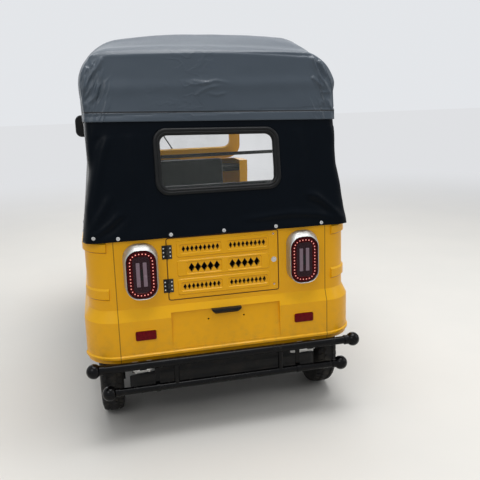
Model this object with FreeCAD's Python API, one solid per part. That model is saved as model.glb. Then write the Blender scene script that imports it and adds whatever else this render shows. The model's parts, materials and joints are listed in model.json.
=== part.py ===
import FreeCAD, Part
import math
import os

# Passenger auto rickshaw, three wheels, seen as a whole vehicle.
# Frame: origin on the ground below the middle of the outline, +X to the vehicle's right,
# +Y to its front, +Z up. All sizes are millimetres.

V = FreeCAD.Vector
parts_dir = "parts"

# Overall places
y_hatch = -1240.0          # upper rear plane of the body
y_front_axle = 1080.0
y_rear_axle = -920.0
floor_z = 377.0            # lower edge of the body and underside of the floor
belt_z = 955.0             # top edge of the sheet-metal body
floor_t = 6.0
sill_h = 59.0
skin = 6.0                 # pressed panel thickness
gap = 0.6                  # gap between fixed panels
seat_gap = 0.3             # how far a piece stays from a curved or soft seat

# Rear body
body_half_w = 635.0
corner_r = 130.0
seam_x = 506.0
tub_front_low = -430.0
tub_front_high = -545.0
# columns: height, how far the skin stands out there
body_levels = [(377.0, 21.0), (392.0, 25.0), (397.0, 31.0), (407.0, 31.0), (412.0, 25.0),
               (575.0, 25.0), (628.0, 0.0), (955.0, 0.0)]
# columns: bottom and top of a pressed rib, how far it stands out
side_ribs = [(677.0, 733.0, 8.0), (900.0, 952.0, 9.0)]
rib_slope = 8.0
arch_r = 275.0
low_face_y = y_hatch - body_levels[4][1]      # rear face below the waist

# Rear hatch
hatch_half_w = 266.0
hatch_low, hatch_high = 653.0, 947.0
hatch_gap = 1.5
hatch_t = 4.0
hatch_corner_r = 10.0
latch_x, latch_z = 245.0, 804.0
dimple_zs = (930.0, 680.0)
dimple_r, dimple_depth = 9.5, 1.4
# columns: height of the row, number each side, pitch, inner and outer x of the left group, width, height
vent_rows = [(893.0, 9, 20.1, 28.0, 13.0, 23.0),
             (801.0, 5, 30.0, 34.0, 25.0, 38.0),
             (711.0, 9, 20.1, 28.0, 13.0, 23.0)]
vent_shift_right = 7.0     # the right group starts a little further out
pad_half_w = 222.0
pad_h = 78.0
pad_raise = 3.0
hinge_zs = (884.0, 723.0)
hinge_plate_w, hinge_plate_h, hinge_plate_t = 23.0, 65.0, 2.5
knuckle_r = 4.5
hinge_pin_r = 2.0
pin_play = 0.08

# Lamps and small rear pieces
lamp_x, lamp_face_z = 388.0, 798.0
# width, height, corner, height of the centre and distance out of the bezel's foot and of its rim
lamp_foot = (159.0, 254.0, 66.0, 810.0, 0.0)
lamp_rim = (141.0, 231.0, 60.0, lamp_face_z, 42.0)
lamp_hole_w, lamp_hole_h, lamp_hole_r = 134.6, 225.0, 55.5
lamp_floor = 6.0
lens_edge_out, lens_out, panel_out, bar_out = 33.0, 39.0, 36.0, 38.0
lamp_panel_w, lamp_panel_h = 79.0, 170.0
lamp_bar_x, lamp_bar_w, lamp_bar_h = 15.8, 17.0, 113.0
reflector_x, reflector_z = 385.0, 503.0
reflector_w, reflector_h, reflector_t = 95.0, 44.0, 7.0
reflector_rim_w, reflector_rim_t = 4.0, 2.0

# Sunk field for the number plate, its floor leaning in toward the top, with the lamp below its upper ledge
plate_half_w, plate_low, plate_high = 264.0, 424.0, 596.0
plate_low_y, plate_high_y = low_face_y + 1.5, low_face_y + 19.0
plate_liner = 5.0
plate_lamp_h, plate_lamp_half_top, plate_lamp_half_low, plate_lamp_out = 25.0, 71.0, 54.0, 38.0
plate_hole_z = 544.0
plate_hole_x = 86.5
plate_hole_r = 4.5

# Rear bumper
bumper_y = y_hatch - 50.0
upper_bar = (368.0, 19.0, 632.0)      # height, tube radius, ball centre
lower_bar = (250.0, 17.0, 568.0)
ball_r = 34.0
strut_x, strut_r = 255.0, 13.0
stay_x, stay_w, stay_t = 345.0, 22.0, 6.0

# Wheels
wheel_r = 235.0
tyre_half_w = 57.0
rim_r, rim_flange_r = 127.0, 136.0
rear_wheel_x = 555.0
drum_r = 86.0
axle_r = 14.0
bore_play = 0.08

# Chassis
engine_box = (-170.0, 170.0, 10.0, 370.0, 262.0, 592.0)    # both ends in x, in y and in z
rail_x, rail_w, rail_h = 410.0, 40.0, 40.0
rail_z = floor_z - rail_h
rail_front = 560.0
rail_rear = -1235.0
cross_ys = (-1150.0, -640.0, -110.0, 420.0)
neck_r = 24.0
axle_tube_r = 30.0
spring_half = 295.0
spring_w = 60.0
leaf_t = 8.0
spring_sag = 12.0
eye_r = 17.0
# columns: half length of each leaf, from the main leaf down
leaf_halves = [295.0, 235.0, 165.0, 95.0]

# Steering
rake = math.radians(20.0)
fork_offset = 30.0
leg_x = 92.0
steer_foot = V(0, y_front_axle - fork_offset, wheel_r)
steer_up = V(0, -math.sin(rake), math.cos(rake))
steer_fore = V(0, math.cos(rake), math.sin(rake))
crown_s = 346.0
crown_t = 22.0
head_from, head_to = 398.0, 575.0
head_r, stem_r = 30.0, 18.0
bar_s = 872.0
bar_r, grip_r = 11.0, 16.0
clamp_w, clamp_d = 70.0, 52.0
guard_r, guard_t, guard_half_w = 264.0, 4.0, 68.0

# Front body
cowl_back = 650.0
cowl_skin = 6.0
nose_r, cowl_corner_r = 1100.0, 150.0
# columns: height, half width at the door edge, foremost point of the nose
cowl_levels = [(377.0, 520.0, 985.0), (480.0, 545.0, 1035.0), (600.0, 562.0, 1078.0), (760.0, 576.0, 1104.0),
               (900.0, 584.0, 1092.0), (1000.0, 588.0, 1062.0), (1085.0, 588.0, 1004.0)]
well_half_w = 290.0
well_top = 652.0
well_back_low, well_back_top = 700.0, 790.0
head_lamp_x, head_lamp_z, head_lamp_r, head_lamp_front = 300.0, 800.0, 78.0, 1096.0
indicator_x, indicator_z, indicator_r, indicator_front = 468.0, 905.0, 30.0, 1000.0

# Windscreen: foot and head of its centre plane
screen_foot_y, screen_foot_z = 900.0, 1088.9
screen_head_y, screen_head_z = 742.0, 1770.0
screen_low_half, screen_high_half = 584.0, 560.0
# widths of the frame's pillars, foot and head
screen_pillar, screen_foot, screen_head = 84.0, 88.0, 50.0
screen_depth, screen_corner_r, pane_corner_r = 30.0, 105.0, 50.0
glass_t, pane_hold = 5.0, 14.0

# Seats
seat_deck_z = 640.0
seat_front = -560.0
board_top_y = -1075.0
seat_half_w = 572.0

# Canopy: columns are y at the belt, y at the top, half width at the belt, half width at the waist,
# height of the waist, height where the shoulder starts, half width of the roof, roof height at the side
# and in the middle, and how full the shoulder is between its two ends
canopy_stations = [
    (-1250.0, -1122.0, 590.0, 560.0, 1250.0, 1600.0, 426.0, 1758.0, 1771.0, 0.77),
    (-1236.0, -1110.0, 622.0, 580.0, 1250.0, 1606.0, 440.0, 1774.0, 1786.0, 0.76),
    (-1190.0, -1066.0, 638.0, 590.0, 1250.0, 1620.0, 440.0, 1794.0, 1808.0, 0.74),
    (-870.0, -860.0, 640.0, 592.0, 1250.0, 1672.0, 420.0, 1854.0, 1878.0, 0.66),
    (-560.0, -560.0, 640.0, 606.0, 1250.0, 1690.0, 424.0, 1870.0, 1897.0, 0.66),
    (-90.0, -90.0, 640.0, 614.0, 1250.0, 1700.0, 430.0, 1877.0, 1905.0, 0.67),
    (420.0, 420.0, 632.0, 612.0, 1250.0, 1690.0, 436.0, 1858.0, 1886.0, 0.72),
    (775.0, 775.0, 600.0, 580.0, 1250.0, 1660.0, 420.0, 1800.0, 1826.0, 0.777),
]
canopy_t = 6.0
skirt_hem, skirt_t = 1470.0, 4.0       # the roof cover lies over the rear curtain down to this hem
valance_z = 1600.0
quarter_front = -560.0
window_half_w, window_z, window_h, window_r = 297.0, 1296.0, 300.0, 62.0
window_band = 32.0
rear_hoop_half, middle_hoop_half, post_half = 564.0, 572.0, 596.0


def box(x0, x1, y0, y1, z0, z1):
    return Part.makeBox(x1 - x0, y1 - y0, z1 - z0, V(x0, y0, z0))


def rod(p, q, r):
    d = q - p
    return Part.makeCylinder(r, d.Length, p, d)


def fused(shapes):
    whole = shapes[0].multiFuse(shapes[1:]) if len(shapes) > 1 else shapes[0]
    return whole.removeSplitter()


def cut(shape, *tools):
    return shape.cut(list(tools)) if len(tools) > 1 else shape.cut(tools[0])


def mirrored(shape):
    return shape.mirror(V(0, 0, 0), V(1, 0, 0))


def both(shape):
    return [shape, mirrored(shape)]


def polygon_prism(points, axis, start, depth):
    """A prism on points given in the two directions left after axis, in X, Y, Z order."""
    make = {"x": lambda a, b: V(start, a, b),
            "y": lambda a, b: V(a, start, b),
            "z": lambda a, b: V(a, b, start)}[axis]
    way = {"x": V(depth, 0, 0), "y": V(0, depth, 0), "z": V(0, 0, depth)}[axis]
    wire = Part.makePolygon([make(a, b) for a, b in points] + [make(*points[0])])
    return Part.Face(wire).extrude(way)


def round_rect_wire(cx, cz, w, h, r, y=0.0):
    """A rounded rectangle in the XZ plane at y."""
    x0, x1, z0, z1 = cx - w / 2, cx + w / 2, cz - h / 2, cz + h / 2
    k = r * (1 - math.sqrt(0.5))
    edges = []
    corners = [((x1 - r, z0), (x1 - k, z0 + k), (x1, z0 + r)), ((x1, z1 - r), (x1 - k, z1 - k), (x1 - r, z1)),
               ((x0 + r, z1), (x0 + k, z1 - k), (x0, z1 - r)), ((x0, z0 + r), (x0 + k, z0 + k), (x0 + r, z0))]
    for i, (a, m, b) in enumerate(corners):
        edges.append(Part.Arc(V(a[0], y, a[1]), V(m[0], y, m[1]), V(b[0], y, b[1])).toShape())
        n = corners[(i + 1) % 4][0]
        if abs(b[0] - n[0]) + abs(b[1] - n[1]) > 1e-6:
            edges.append(Part.LineSegment(V(b[0], y, b[1]), V(n[0], y, n[1])).toShape())
    return Part.Wire(edges)


def round_plate(cx, cz, w, h, r, y0, y1):
    return Part.Face(round_rect_wire(cx, cz, w, h, r, y0)).extrude(V(0, y1 - y0, 0))


def round_taper(cx, cz, w0, h0, r0, y0, w1, h1, r1, y1):
    ends = [round_rect_wire(cx, cz, w0, h0, r0, y0), round_rect_wire(cx, cz, w1, h1, r1, y1)]
    return Part.makeLoft(ends, True, True)


def bent_path(points, radii):
    """Straight runs joined by tangent arcs; radii holds one radius for each inner point."""
    edges = []
    here = points[0]
    for i in range(1, len(points) - 1):
        p, a, b, r = points[i], points[i - 1], points[i + 1], radii[i - 1]
        u, w = (a - p).normalize(), (b - p).normalize()
        half = math.acos(max(-1.0, min(1.0, u.dot(w)))) / 2
        back = r / math.tan(half)
        middle = (u + w).normalize()
        tip = p + middle * (r / math.sin(half) - r)
        edges.append(Part.LineSegment(here, p + u * back).toShape())
        edges.append(Part.Arc(p + u * back, tip, p + w * back).toShape())
        here = p + w * back
    edges.append(Part.LineSegment(here, points[-1]).toShape())
    return Part.Wire(edges)


def bent_tube(points, radii, r):
    path = bent_path(points, radii)
    ring = Part.Wire(Part.Circle(points[0], (points[1] - points[0]), r).toShape())
    return path.makePipeShell([ring], True, False)


def turned(profile, centre, axis):
    """A closed profile of points and arcs, turned once about an axis through centre."""
    return Part.Face(profile).revolve(centre, axis, 360)


def wire_of(steps):
    """Joins steps: two points make a line, three make an arc."""
    edges = []
    for s in steps:
        edges.append(Part.LineSegment(*s).toShape() if len(s) == 2 else Part.Arc(*s).toShape())
    return Part.Wire(edges)


def steer_point(x, s, fore=0.0):
    return steer_foot + V(x, 0, 0) + steer_up * s + steer_fore * fore


# Rear body shell

def tub_outline(inset, flare, z, front):
    """Closed U outline of the rear body in plan, opening forwards."""
    half, back, r = body_half_w + flare - inset, y_hatch - flare + inset, corner_r + flare - inset
    k = r * (1 - math.sqrt(0.5))
    return wire_of([
        (V(half, front, z), V(half, back + r, z)),
        (V(half, back + r, z), V(half - k, back + k, z), V(half - r, back, z)),
        (V(half - r, back, z), V(-half + r, back, z)),
        (V(-half + r, back, z), V(-half + k, back + k, z), V(-half, back + r, z)),
        (V(-half, back + r, z), V(-half, front, z)),
        (V(-half, front, z), V(half, front, z)),
    ])


def tub_shell(levels):
    outer = Part.makeLoft([tub_outline(0, d, z, -300.0) for z, d in levels], True, True)
    ends = [(levels[0][0] - 1, levels[0][1])] + levels[1:-1] + [(levels[-1][0] + 1, levels[-1][1])]
    inner = Part.makeLoft([tub_outline(skin, d, z, -290.0) for z, d in ends], True, True)
    return cut(outer, inner)


def rib_shell():
    """The pressed ribs of the side panels, as rings standing out from the body skin."""
    rings = []
    for low, high, out in side_ribs:
        levels = [(low, 0.0), (low + rib_slope, out), (high - rib_slope, out), (high, 0.0)]
        outer = Part.makeLoft([tub_outline(0, d, z, -300.0) for z, d in levels], True, True)
        core = Part.makeLoft([tub_outline(skin / 2, 0.0, z, -290.0) for z in (low - 1, high + 1)], True, True)
        rings.append(cut(outer, core))
    return rings


def side_panel():
    """Right-hand corner and side of the rear body, from the seam to the door edge."""
    keep = box(seam_x + gap / 2, 800, -1400, -300, 300, 1000)
    shell = tub_shell(body_levels).common(keep)
    fade = polygon_prism([(seam_x + 20, y_hatch + 30), (seam_x + 38, y_hatch - 14), (800, y_hatch - 14),
                          (800, 0), (seam_x + 20, 0)], "z", 600.0, 400.0)
    ribs = [ring.common(fade) for ring in rib_shell()]
    front = polygon_prism([(tub_front_low, 300), (tub_front_low, floor_z), (tub_front_high + 40, 840),
                           (tub_front_high, belt_z), (tub_front_high, 1000), (0, 1000), (0, 300)],
                          "x", 400.0, 400.0)
    arch = Part.makeCylinder(arch_r, 300, V(450, y_rear_axle, wheel_r), V(1, 0, 0))
    return cut(fused([shell] + ribs), front, arch)


def rear_panel():
    shell = tub_shell(body_levels).common(box(-seam_x + gap / 2, seam_x - gap / 2, -1400, -1150, 300, 1000))
    opening = round_plate(0, (hatch_low + hatch_high) / 2, 2 * hatch_half_w, hatch_high - hatch_low,
                          hatch_corner_r, y_hatch - 60, y_hatch + 60)
    frame_out = round_plate(0, (hatch_low + hatch_high) / 2, 2 * hatch_half_w + 30, hatch_high - hatch_low + 10,
                            hatch_corner_r, y_hatch + skin, y_hatch + skin + 8)
    frame_in = round_plate(0, (hatch_low + hatch_high) / 2, 2 * hatch_half_w - 30, hatch_high - hatch_low - 30,
                           hatch_corner_r, y_hatch, y_hatch + 40)
    holes = [Part.makeCylinder(plate_hole_r, 80, V(x, y_hatch - 60, plate_hole_z), V(0, 1, 0))
             for x in (-plate_hole_x, plate_hole_x)]
    pieces = [cut(shell, opening), cut(frame_out, frame_in), plate_field(plate_liner)] + both(reflector_rim())
    return cut(fused(pieces), plate_field(0), *holes)


def plate_field(grow):
    """The room sunk into the body for the number plate; grown, it is the lining inside the body's skin."""
    low, high, half = plate_low - grow, plate_high + grow, plate_half_w + grow
    y0, y1, front = plate_low_y + grow, plate_high_y + grow, y_hatch - 60
    field = polygon_prism([(front, low), (y0, low), (y1, high), (front, high)], "x", -half, 2 * half)
    if not grow:
        return field
    return field.common(Part.makeLoft([tub_outline(0, d, z, -300.0) for z, d in body_levels], True, True))


def reflector_rim():
    """Pressed edge round a reflector."""
    w, h, face = reflector_w + 2 * reflector_rim_w, reflector_h + 2 * reflector_rim_w, low_face_y
    outer = round_taper(reflector_x, reflector_z, w - 2, h - 2, 9, face - reflector_rim_t, w, h, 10, face + 1)
    inner = round_plate(reflector_x, reflector_z, reflector_w + 1, reflector_h + 1, 7.5, face - 5, face)
    return cut(outer, inner)


def diamond(cx, cz, w, h, y0, depth):
    a, b = w / 2, h / 2
    return polygon_prism([(cx - a, cz), (cx, cz - b), (cx + a, cz), (cx, cz + b)], "y", y0, depth)


def vent_places():
    """Centres and sizes of every diamond vent."""
    places = []
    for z, count, pitch, inner, w, h in vent_rows:
        for i in range(count):
            places.append((-inner - i * pitch, z, w, h))
            places.append((inner + vent_shift_right + i * pitch, z, w, h))
    return places


def rear_hatch():
    """The vented door: a plate with three pressed pads, each with two sunk fields of diamond vents."""
    w, h = 2 * (hatch_half_w - hatch_gap), hatch_high - hatch_low - 2 * hatch_gap
    middle, r = (hatch_low + hatch_high) / 2, hatch_corner_r - hatch_gap
    plate = round_plate(0, middle, w, h, r, y_hatch, y_hatch + hatch_t)
    pads, sunk = [], []
    for z, count, pitch, inner, vw, vh in vent_rows:
        pads.append(round_taper(0, z, 2 * pad_half_w, pad_h, 12, y_hatch,
                                2 * pad_half_w - 6, pad_h - 6, 9, y_hatch - pad_raise))
        span = (count - 1) * pitch
        for side, start in ((-1, inner), (1, inner + vent_shift_right)):
            cx = side * (start + span / 2)
            sunk.append(round_taper(cx, z, span + vw + 24, vh + 22, 10, y_hatch - pad_raise,
                                    span + vw + 18, vh + 16, 7, y_hatch + 0.5))
    vents = [diamond(x, z, vw, vh, y_hatch - 10, 30) for x, z, vw, vh in vent_places()]
    dimples = [Part.makeCone(dimple_r, dimple_r - 3, dimple_depth, V(latch_x, y_hatch, z), V(0, 1, 0))
               for z in dimple_zs]
    return cut(cut(fused([plate] + pads), *sunk), *(vents + dimples))


def hinge_axis_y():
    return y_hatch - knuckle_r


def hinge_plates(side):
    """side -1 gives the leaves on the body with the outer knuckles and pin, +1 the leaves on the hatch."""
    third = hinge_plate_h / 3
    made = []
    for z in hinge_zs:
        low = z - hinge_plate_h / 2
        x0 = -hatch_half_w
        edge = knuckle_r + 0.6
        near, far = sorted((x0 + side * hatch_gap, x0 + side * hinge_plate_w))
        leaf = box(near, far, y_hatch - hinge_plate_t, y_hatch, low, low + hinge_plate_h)
        axis = V(x0, hinge_axis_y(), 0)
        if side < 0:
            room = Part.makeCylinder(edge, third + 0.8, axis + V(0, 0, low + third - 0.4))
            knuckles = [Part.makeCylinder(knuckle_r, third - 0.4, axis + V(0, 0, low)),
                        Part.makeCylinder(knuckle_r, third - 0.4, axis + V(0, 0, low + 2 * third + 0.4))]
            pin = Part.makeCylinder(hinge_pin_r, hinge_plate_h, axis + V(0, 0, low))
            made.append(fused([cut(leaf, room)] + knuckles + [pin]))
        else:
            room = [Part.makeCylinder(edge, third + 0.4, axis + V(0, 0, low - 0.4)),
                    Part.makeCylinder(edge, third + 0.4, axis + V(0, 0, low + 2 * third))]
            middle = Part.makeCylinder(knuckle_r, third - 0.8, axis + V(0, 0, low + third + 0.4))
            bore = Part.makeCylinder(hinge_pin_r + pin_play, hinge_plate_h, axis + V(0, 0, low))
            made.append(cut(fused([cut(leaf, *room), middle]), bore))
    return made


def hatch_lock():
    """Round lock with its flange and key slot."""
    knob = Part.makeCylinder(9, 7, V(latch_x, y_hatch - 7, latch_z), V(0, 1, 0))
    flange = Part.makeCylinder(13, 2, V(latch_x, y_hatch - 2, latch_z), V(0, 1, 0))
    slot = box(latch_x - 1, latch_x + 1, y_hatch - 8, y_hatch - 5, latch_z - 5, latch_z + 5)
    return cut(fused([knob, flange]), slot)


# Lamps

def lamp_section(w, h, r, z, out):
    return round_rect_wire(lamp_x, z, w, h, r, y_hatch - out)


def tail_lamp_bezel():
    outer = Part.makeLoft([lamp_section(*lamp_foot), lamp_section(*lamp_rim)], True, True)
    inner = round_plate(lamp_x, lamp_face_z, lamp_hole_w, lamp_hole_h, lamp_hole_r,
                        y_hatch - lamp_rim[4] - 5, y_hatch - lamp_floor)
    return cut(outer, inner)


def tail_lamp_lens():
    """Lens that slopes to a sunk middle panel with two light bars."""
    w, h, r = lamp_hole_w - 2 * seat_gap, lamp_hole_h - 2 * seat_gap, lamp_hole_r - seat_gap
    z, slope = lamp_face_z, 19.0
    body = round_plate(lamp_x, z, w, h, r, y_hatch - lens_edge_out, y_hatch - lamp_floor)
    face = round_taper(lamp_x, z, w - 2 * slope, h - 2 * slope, r - slope, y_hatch - lens_out,
                       w, h, r, y_hatch - lens_edge_out)
    panel = round_plate(lamp_x, z, lamp_panel_w, lamp_panel_h, 22, y_hatch - lens_out - 5, y_hatch - panel_out)
    bars = [round_plate(lamp_x + x, z, lamp_bar_w, lamp_bar_h, 3, y_hatch - bar_out, y_hatch - panel_out + 1)
            for x in (-lamp_bar_x, lamp_bar_x)]
    return fused([cut(fused([body, face]), panel)] + bars)


def reflector():
    return round_taper(reflector_x, reflector_z, reflector_w - 4, reflector_h - 4, 5, low_face_y - reflector_t,
                       reflector_w, reflector_h, 7, low_face_y)


def plate_lamp():
    """Number-plate lamp below the ledge of the sunk field, narrower toward its foot."""
    top, low, front = plate_high - seat_gap, plate_high - plate_lamp_h, y_hatch - plate_lamp_out
    wide, narrow = plate_lamp_half_top, plate_lamp_half_low
    outline = [(-narrow, low), (narrow, low), (wide, top - 6), (wide, top), (-wide, top), (-wide, top - 6)]
    face = polygon_prism(outline, "y", front, y_hatch - front)
    behind = [(plate_low_y, plate_low), (plate_high_y, plate_high),
              (y_hatch + 5, plate_high), (y_hatch + 5, plate_low)]
    floor_at_top = polygon_prism(behind, "x", -100.0, 200.0)
    chin = [(front - 1, low - 1), (front + 12, low - 1), (front - 1, low + 12)]
    bevel = polygon_prism(chin, "x", -100.0, 200.0)
    panes = [box(x - 19, x + 19, front - 1, front + 2, low + 13, top - 4) for x in (-36, 36)]
    return cut(face, floor_at_top, bevel, *panes)


# Rear bumper

def rear_bumper():
    pieces = []
    for z, r, ball_x in (upper_bar, lower_bar):
        pieces.append(rod(V(-ball_x, bumper_y, z), V(ball_x, bumper_y, z), r))
        for x in (-ball_x, ball_x):
            pieces.append(Part.makeSphere(ball_r, V(x, bumper_y, z)))
            inward = -1 if x > 0 else 1
            pieces.append(rod(V(x, bumper_y, z), V(x + inward * (ball_r + 12), bumper_y, z), r + 4))
    for x in (-strut_x, strut_x):
        pieces.append(rod(V(x, bumper_y, lower_bar[0]), V(x, bumper_y, upper_bar[0]), strut_r))
    for x in (-rail_x, rail_x):
        pieces.append(box(x - 16, x + 16, bumper_y, rail_rear, rail_z + 6, floor_z - 6))
    for x in (-stay_x, stay_x):
        x0, x1, y0 = x - stay_w / 2, x + stay_w / 2, bumper_y + 8
        pieces.append(box(x0, x1, y0, y0 + stay_t, lower_bar[0], rail_z + 30))
        pieces.append(box(x0, x1, y0, cross_ys[0] - 20, rail_z + 30 - stay_t, rail_z + 30))
        pieces.append(rod(V(x - 9, bumper_y, lower_bar[0]), V(x + 9, bumper_y, lower_bar[0]), lower_bar[1] + 3))
    return fused(pieces)


# Wheels

def tyre():
    w, r, bead = tyre_half_w, wheel_r, 42.0
    right = [V(bead, rim_r + seat_gap, 0), V(bead, rim_flange_r + 1, 0), V(w - 2.5, rim_flange_r + 22, 0),
             V(w, r - 55, 0), V(w - 3, r - 26, 0), V(w - 13, r - 9, 0), V(w - 33, r - 1.5, 0), V(0, r, 0)]
    left = [V(-p.x, p.y, 0) for p in reversed(right[:-1])]
    return turned(Part.makePolygon(right + left + right[:1]), V(0, 0, 0), V(1, 0, 0))


def rim(out, bore_to, drum_in):
    """Steel disc wheel with its hub and brake drum about the X axis; out is the outward side, +1 or -1."""
    x = [-46, -42.3, -42.3, -30, -18, 18, 30, 42.3, 42.3, 46, 46, 34, 22, -22, -34, -46]
    f = rim_flange_r
    r = [f, f, rim_r, rim_r, 112, 112, rim_r, rim_r, f, f, 122, 120, 105, 105, 120, 122]
    ring = [V(a, b, 0) for a, b in zip(x, r)]
    ring = turned(Part.makePolygon(ring + ring[:1]), V(0, 0, 0), V(1, 0, 0))
    dish = [V(6, 0, 0), V(6, 52, 0), V(16, 70, 0), V(16, 96, 0), V(6, 108, 0),
            V(12, 108, 0), V(23, 97, 0), V(23, 69, 0), V(13, 50, 0), V(13, 0, 0)]
    dish = turned(Part.makePolygon(dish + dish[:1]), V(0, 0, 0), V(1, 0, 0))
    windows = [Part.makeCylinder(10, 60, V(-10, 84 * math.cos(a), 84 * math.sin(a)), V(1, 0, 0))
               for a in (math.radians(30 + 45 * i) for i in range(8))]
    nuts = [Part.makeCylinder(8, 12, V(13, 38 * math.cos(a), 38 * math.sin(a)), V(1, 0, 0))
            for a in (math.radians(45 + 90 * i) for i in range(4))]
    drum = Part.makeCylinder(drum_r, 6 - drum_in, V(drum_in, 0, 0), V(1, 0, 0))
    hub = Part.makeCylinder(26, 30, V(6, 0, 0), V(1, 0, 0))
    whole = fused([ring, cut(dish, *windows), drum, hub] + nuts)
    bore = Part.makeCylinder(axle_r + bore_play, bore_to - drum_in + 1, V(drum_in - 1, 0, 0), V(1, 0, 0))
    whole = cut(whole, bore)
    return whole if out > 0 else mirrored(whole)


def front_rim():
    """The front wheel turns on a through axle between the fork legs."""
    whole = rim(1, 100, -40)
    return cut(whole, Part.makeCylinder(axle_r + bore_play, 300, V(-150, 0, 0), V(1, 0, 0)))


def placed(shape, x, y, z):
    moved = shape.copy()
    moved.translate(V(x, y, z))
    return moved


# Chassis and running gear

def chassis_frame():
    pieces = []
    for x in (-rail_x, rail_x):
        pieces.append(box(x - rail_w / 2, x + rail_w / 2, rail_rear, rail_front, rail_z, floor_z))
        for side in (-1, 1):
            ear_x, eye_y = x + side * (spring_w / 2 + 3.5), y_rear_axle + spring_half
            pieces.append(box(ear_x - 3, ear_x + 3, eye_y - 22, eye_y + 22, spring_eye_z() - 16, floor_z - 4))
            x0, x1 = sorted((ear_x, x))
            pieces.append(box(x0, x1, eye_y - 22, eye_y + 22, rail_z + 10, rail_z + 20))
    for y in cross_ys:
        pieces.append(box(-rail_x, rail_x, y - 20, y + 20, rail_z, floor_z))
    pieces.append(box(-rail_x, rail_x, rail_front - 40, rail_front, rail_z, floor_z))
    for y in (-110.0, 420.0):
        pieces.append(box(-body_half_w + 35, body_half_w - 35, y - 15, y + 15, rail_z + 10, floor_z))
    neck = neck_tube(neck_r)
    head = rod(steer_point(0, head_from), steer_point(0, head_to), head_r)
    bore = rod(steer_point(0, head_from - 40), steer_point(0, head_to + 40), stem_r + bore_play)
    return cut(fused(pieces + [neck, head]), bore)


def neck_tube(r):
    """The bent tube from the front cross member up to the steering head."""
    return bent_tube([V(0, rail_front - 20, rail_z + 20), V(0, 690, 600), steer_point(0, 510)], [90], r)


def spring_eye_z():
    return wheel_r + axle_tube_r + 10 + leaf_t * len(leaf_halves) + spring_sag - leaf_t / 2


def leaf(half, drop):
    """One leaf, a band of an arc in the YZ plane: half its length and its drop below the main leaf."""
    radius = (spring_half ** 2 + spring_sag ** 2) / (2 * spring_sag)
    top = spring_eye_z() + leaf_t / 2 - spring_sag - drop
    centre_z = top + radius
    angle = math.asin(half / radius)

    def at(r, a):
        return V(0, y_rear_axle + r * math.sin(a), centre_z - r * math.cos(a))
    low, high = radius + leaf_t, radius
    wire = wire_of([(at(low, -angle), at(low, 0), at(low, angle)), (at(low, angle), at(high, angle)),
                    (at(high, angle), at(high, 0), at(high, -angle)), (at(high, -angle), at(low, -angle))])
    return Part.Face(wire).extrude(V(spring_w, 0, 0)).translate(V(rail_x - spring_w / 2, 0, 0))


def leaf_spring():
    """Right-hand leaf pack with its eyes, clamp plates, clamps and rear shackle."""
    y, low, half_w = y_rear_axle, wheel_r - axle_tube_r, spring_w / 2
    eye_z = spring_eye_z() + eye_r - leaf_t / 2 - 12
    top = spring_eye_z() + leaf_t / 2 - spring_sag + 5
    pieces = [leaf(half, i * leaf_t) for i, half in enumerate(leaf_halves)]
    for eye_y in (y - spring_half, y + spring_half):
        pieces.append(rod(V(rail_x - half_w, eye_y, eye_z), V(rail_x + half_w, eye_y, eye_z), eye_r))
    seat_low = wheel_r + axle_tube_r
    pieces.append(box(rail_x - 28, rail_x + 28, y - 50, y + 50, seat_low - 6, seat_low + 12))
    pieces.append(box(rail_x - 42, rail_x + 42, y - 50, y + 50, low - 9, low - 1))
    for clamp_y in (y - 39, y + 39):
        for x in (rail_x - 36, rail_x + 36):
            pieces.append(rod(V(x, clamp_y, low - 22), V(x, clamp_y, top + 3), 5.5))
        pieces.append(rod(V(rail_x - 36, clamp_y, top), V(rail_x + 36, clamp_y, top), 5.5))
    pieces += shackle(y - spring_half, eye_z)
    tube_room = rod(V(rail_x - 60, y, wheel_r), V(rail_x + 60, y, wheel_r), axle_tube_r + gap / 6)
    return cut(fused(pieces), tube_room)


def shackle(y, eye_z):
    """Two plates that hang the rear eye from the chassis rail, with their bolts."""
    pieces, top_z = [], floor_z - 18
    for side in (-1, 1):
        x = rail_x + side * (spring_w / 2 + 3)
        pieces.append(box(x - 3, x + 3, y - 13, y + 13, eye_z - 14, floor_z - 8))
        for z in (eye_z, top_z):
            pieces.append(rod(V(x, y, z), V(x + side * 13, y, z), 9))
        inner = rail_x + side * (rail_w / 2 + 0.2)
        pieces.append(rod(V(inner, y, top_z), V(x, y, top_z), 7))
    return pieces


def damper():
    low, high = V(330, y_rear_axle + 46, wheel_r + 6), V(330, y_rear_axle + 236, floor_z - 34)
    d = (high - low).normalize()
    body = rod(low + d * 14, low + d * 128, 19)
    stem = rod(low + d * 120, high, 7)
    eyes = [rod(low + V(-14, 0, 0), low + V(14, 0, 0), 16), rod(high + V(-14, 0, 0), high + V(14, 0, 0), 13)]
    hanger = box(318, 342, high.y - 12, high.y + 12, high.z, rail_z + 12)
    tie = box(342, rail_x - rail_w / 2 - 0.3, high.y - 12, high.y + 12, rail_z, rail_z + 12)
    lug = box(322, 338, y_rear_axle + axle_tube_r - 6, low.y + 6, wheel_r - 8, wheel_r + 18)
    tube_room = rod(V(250, y_rear_axle, wheel_r), V(400, y_rear_axle, wheel_r), axle_tube_r + gap / 6)
    return cut(fused([body, stem, hanger, tie, lug] + eyes), tube_room)


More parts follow.
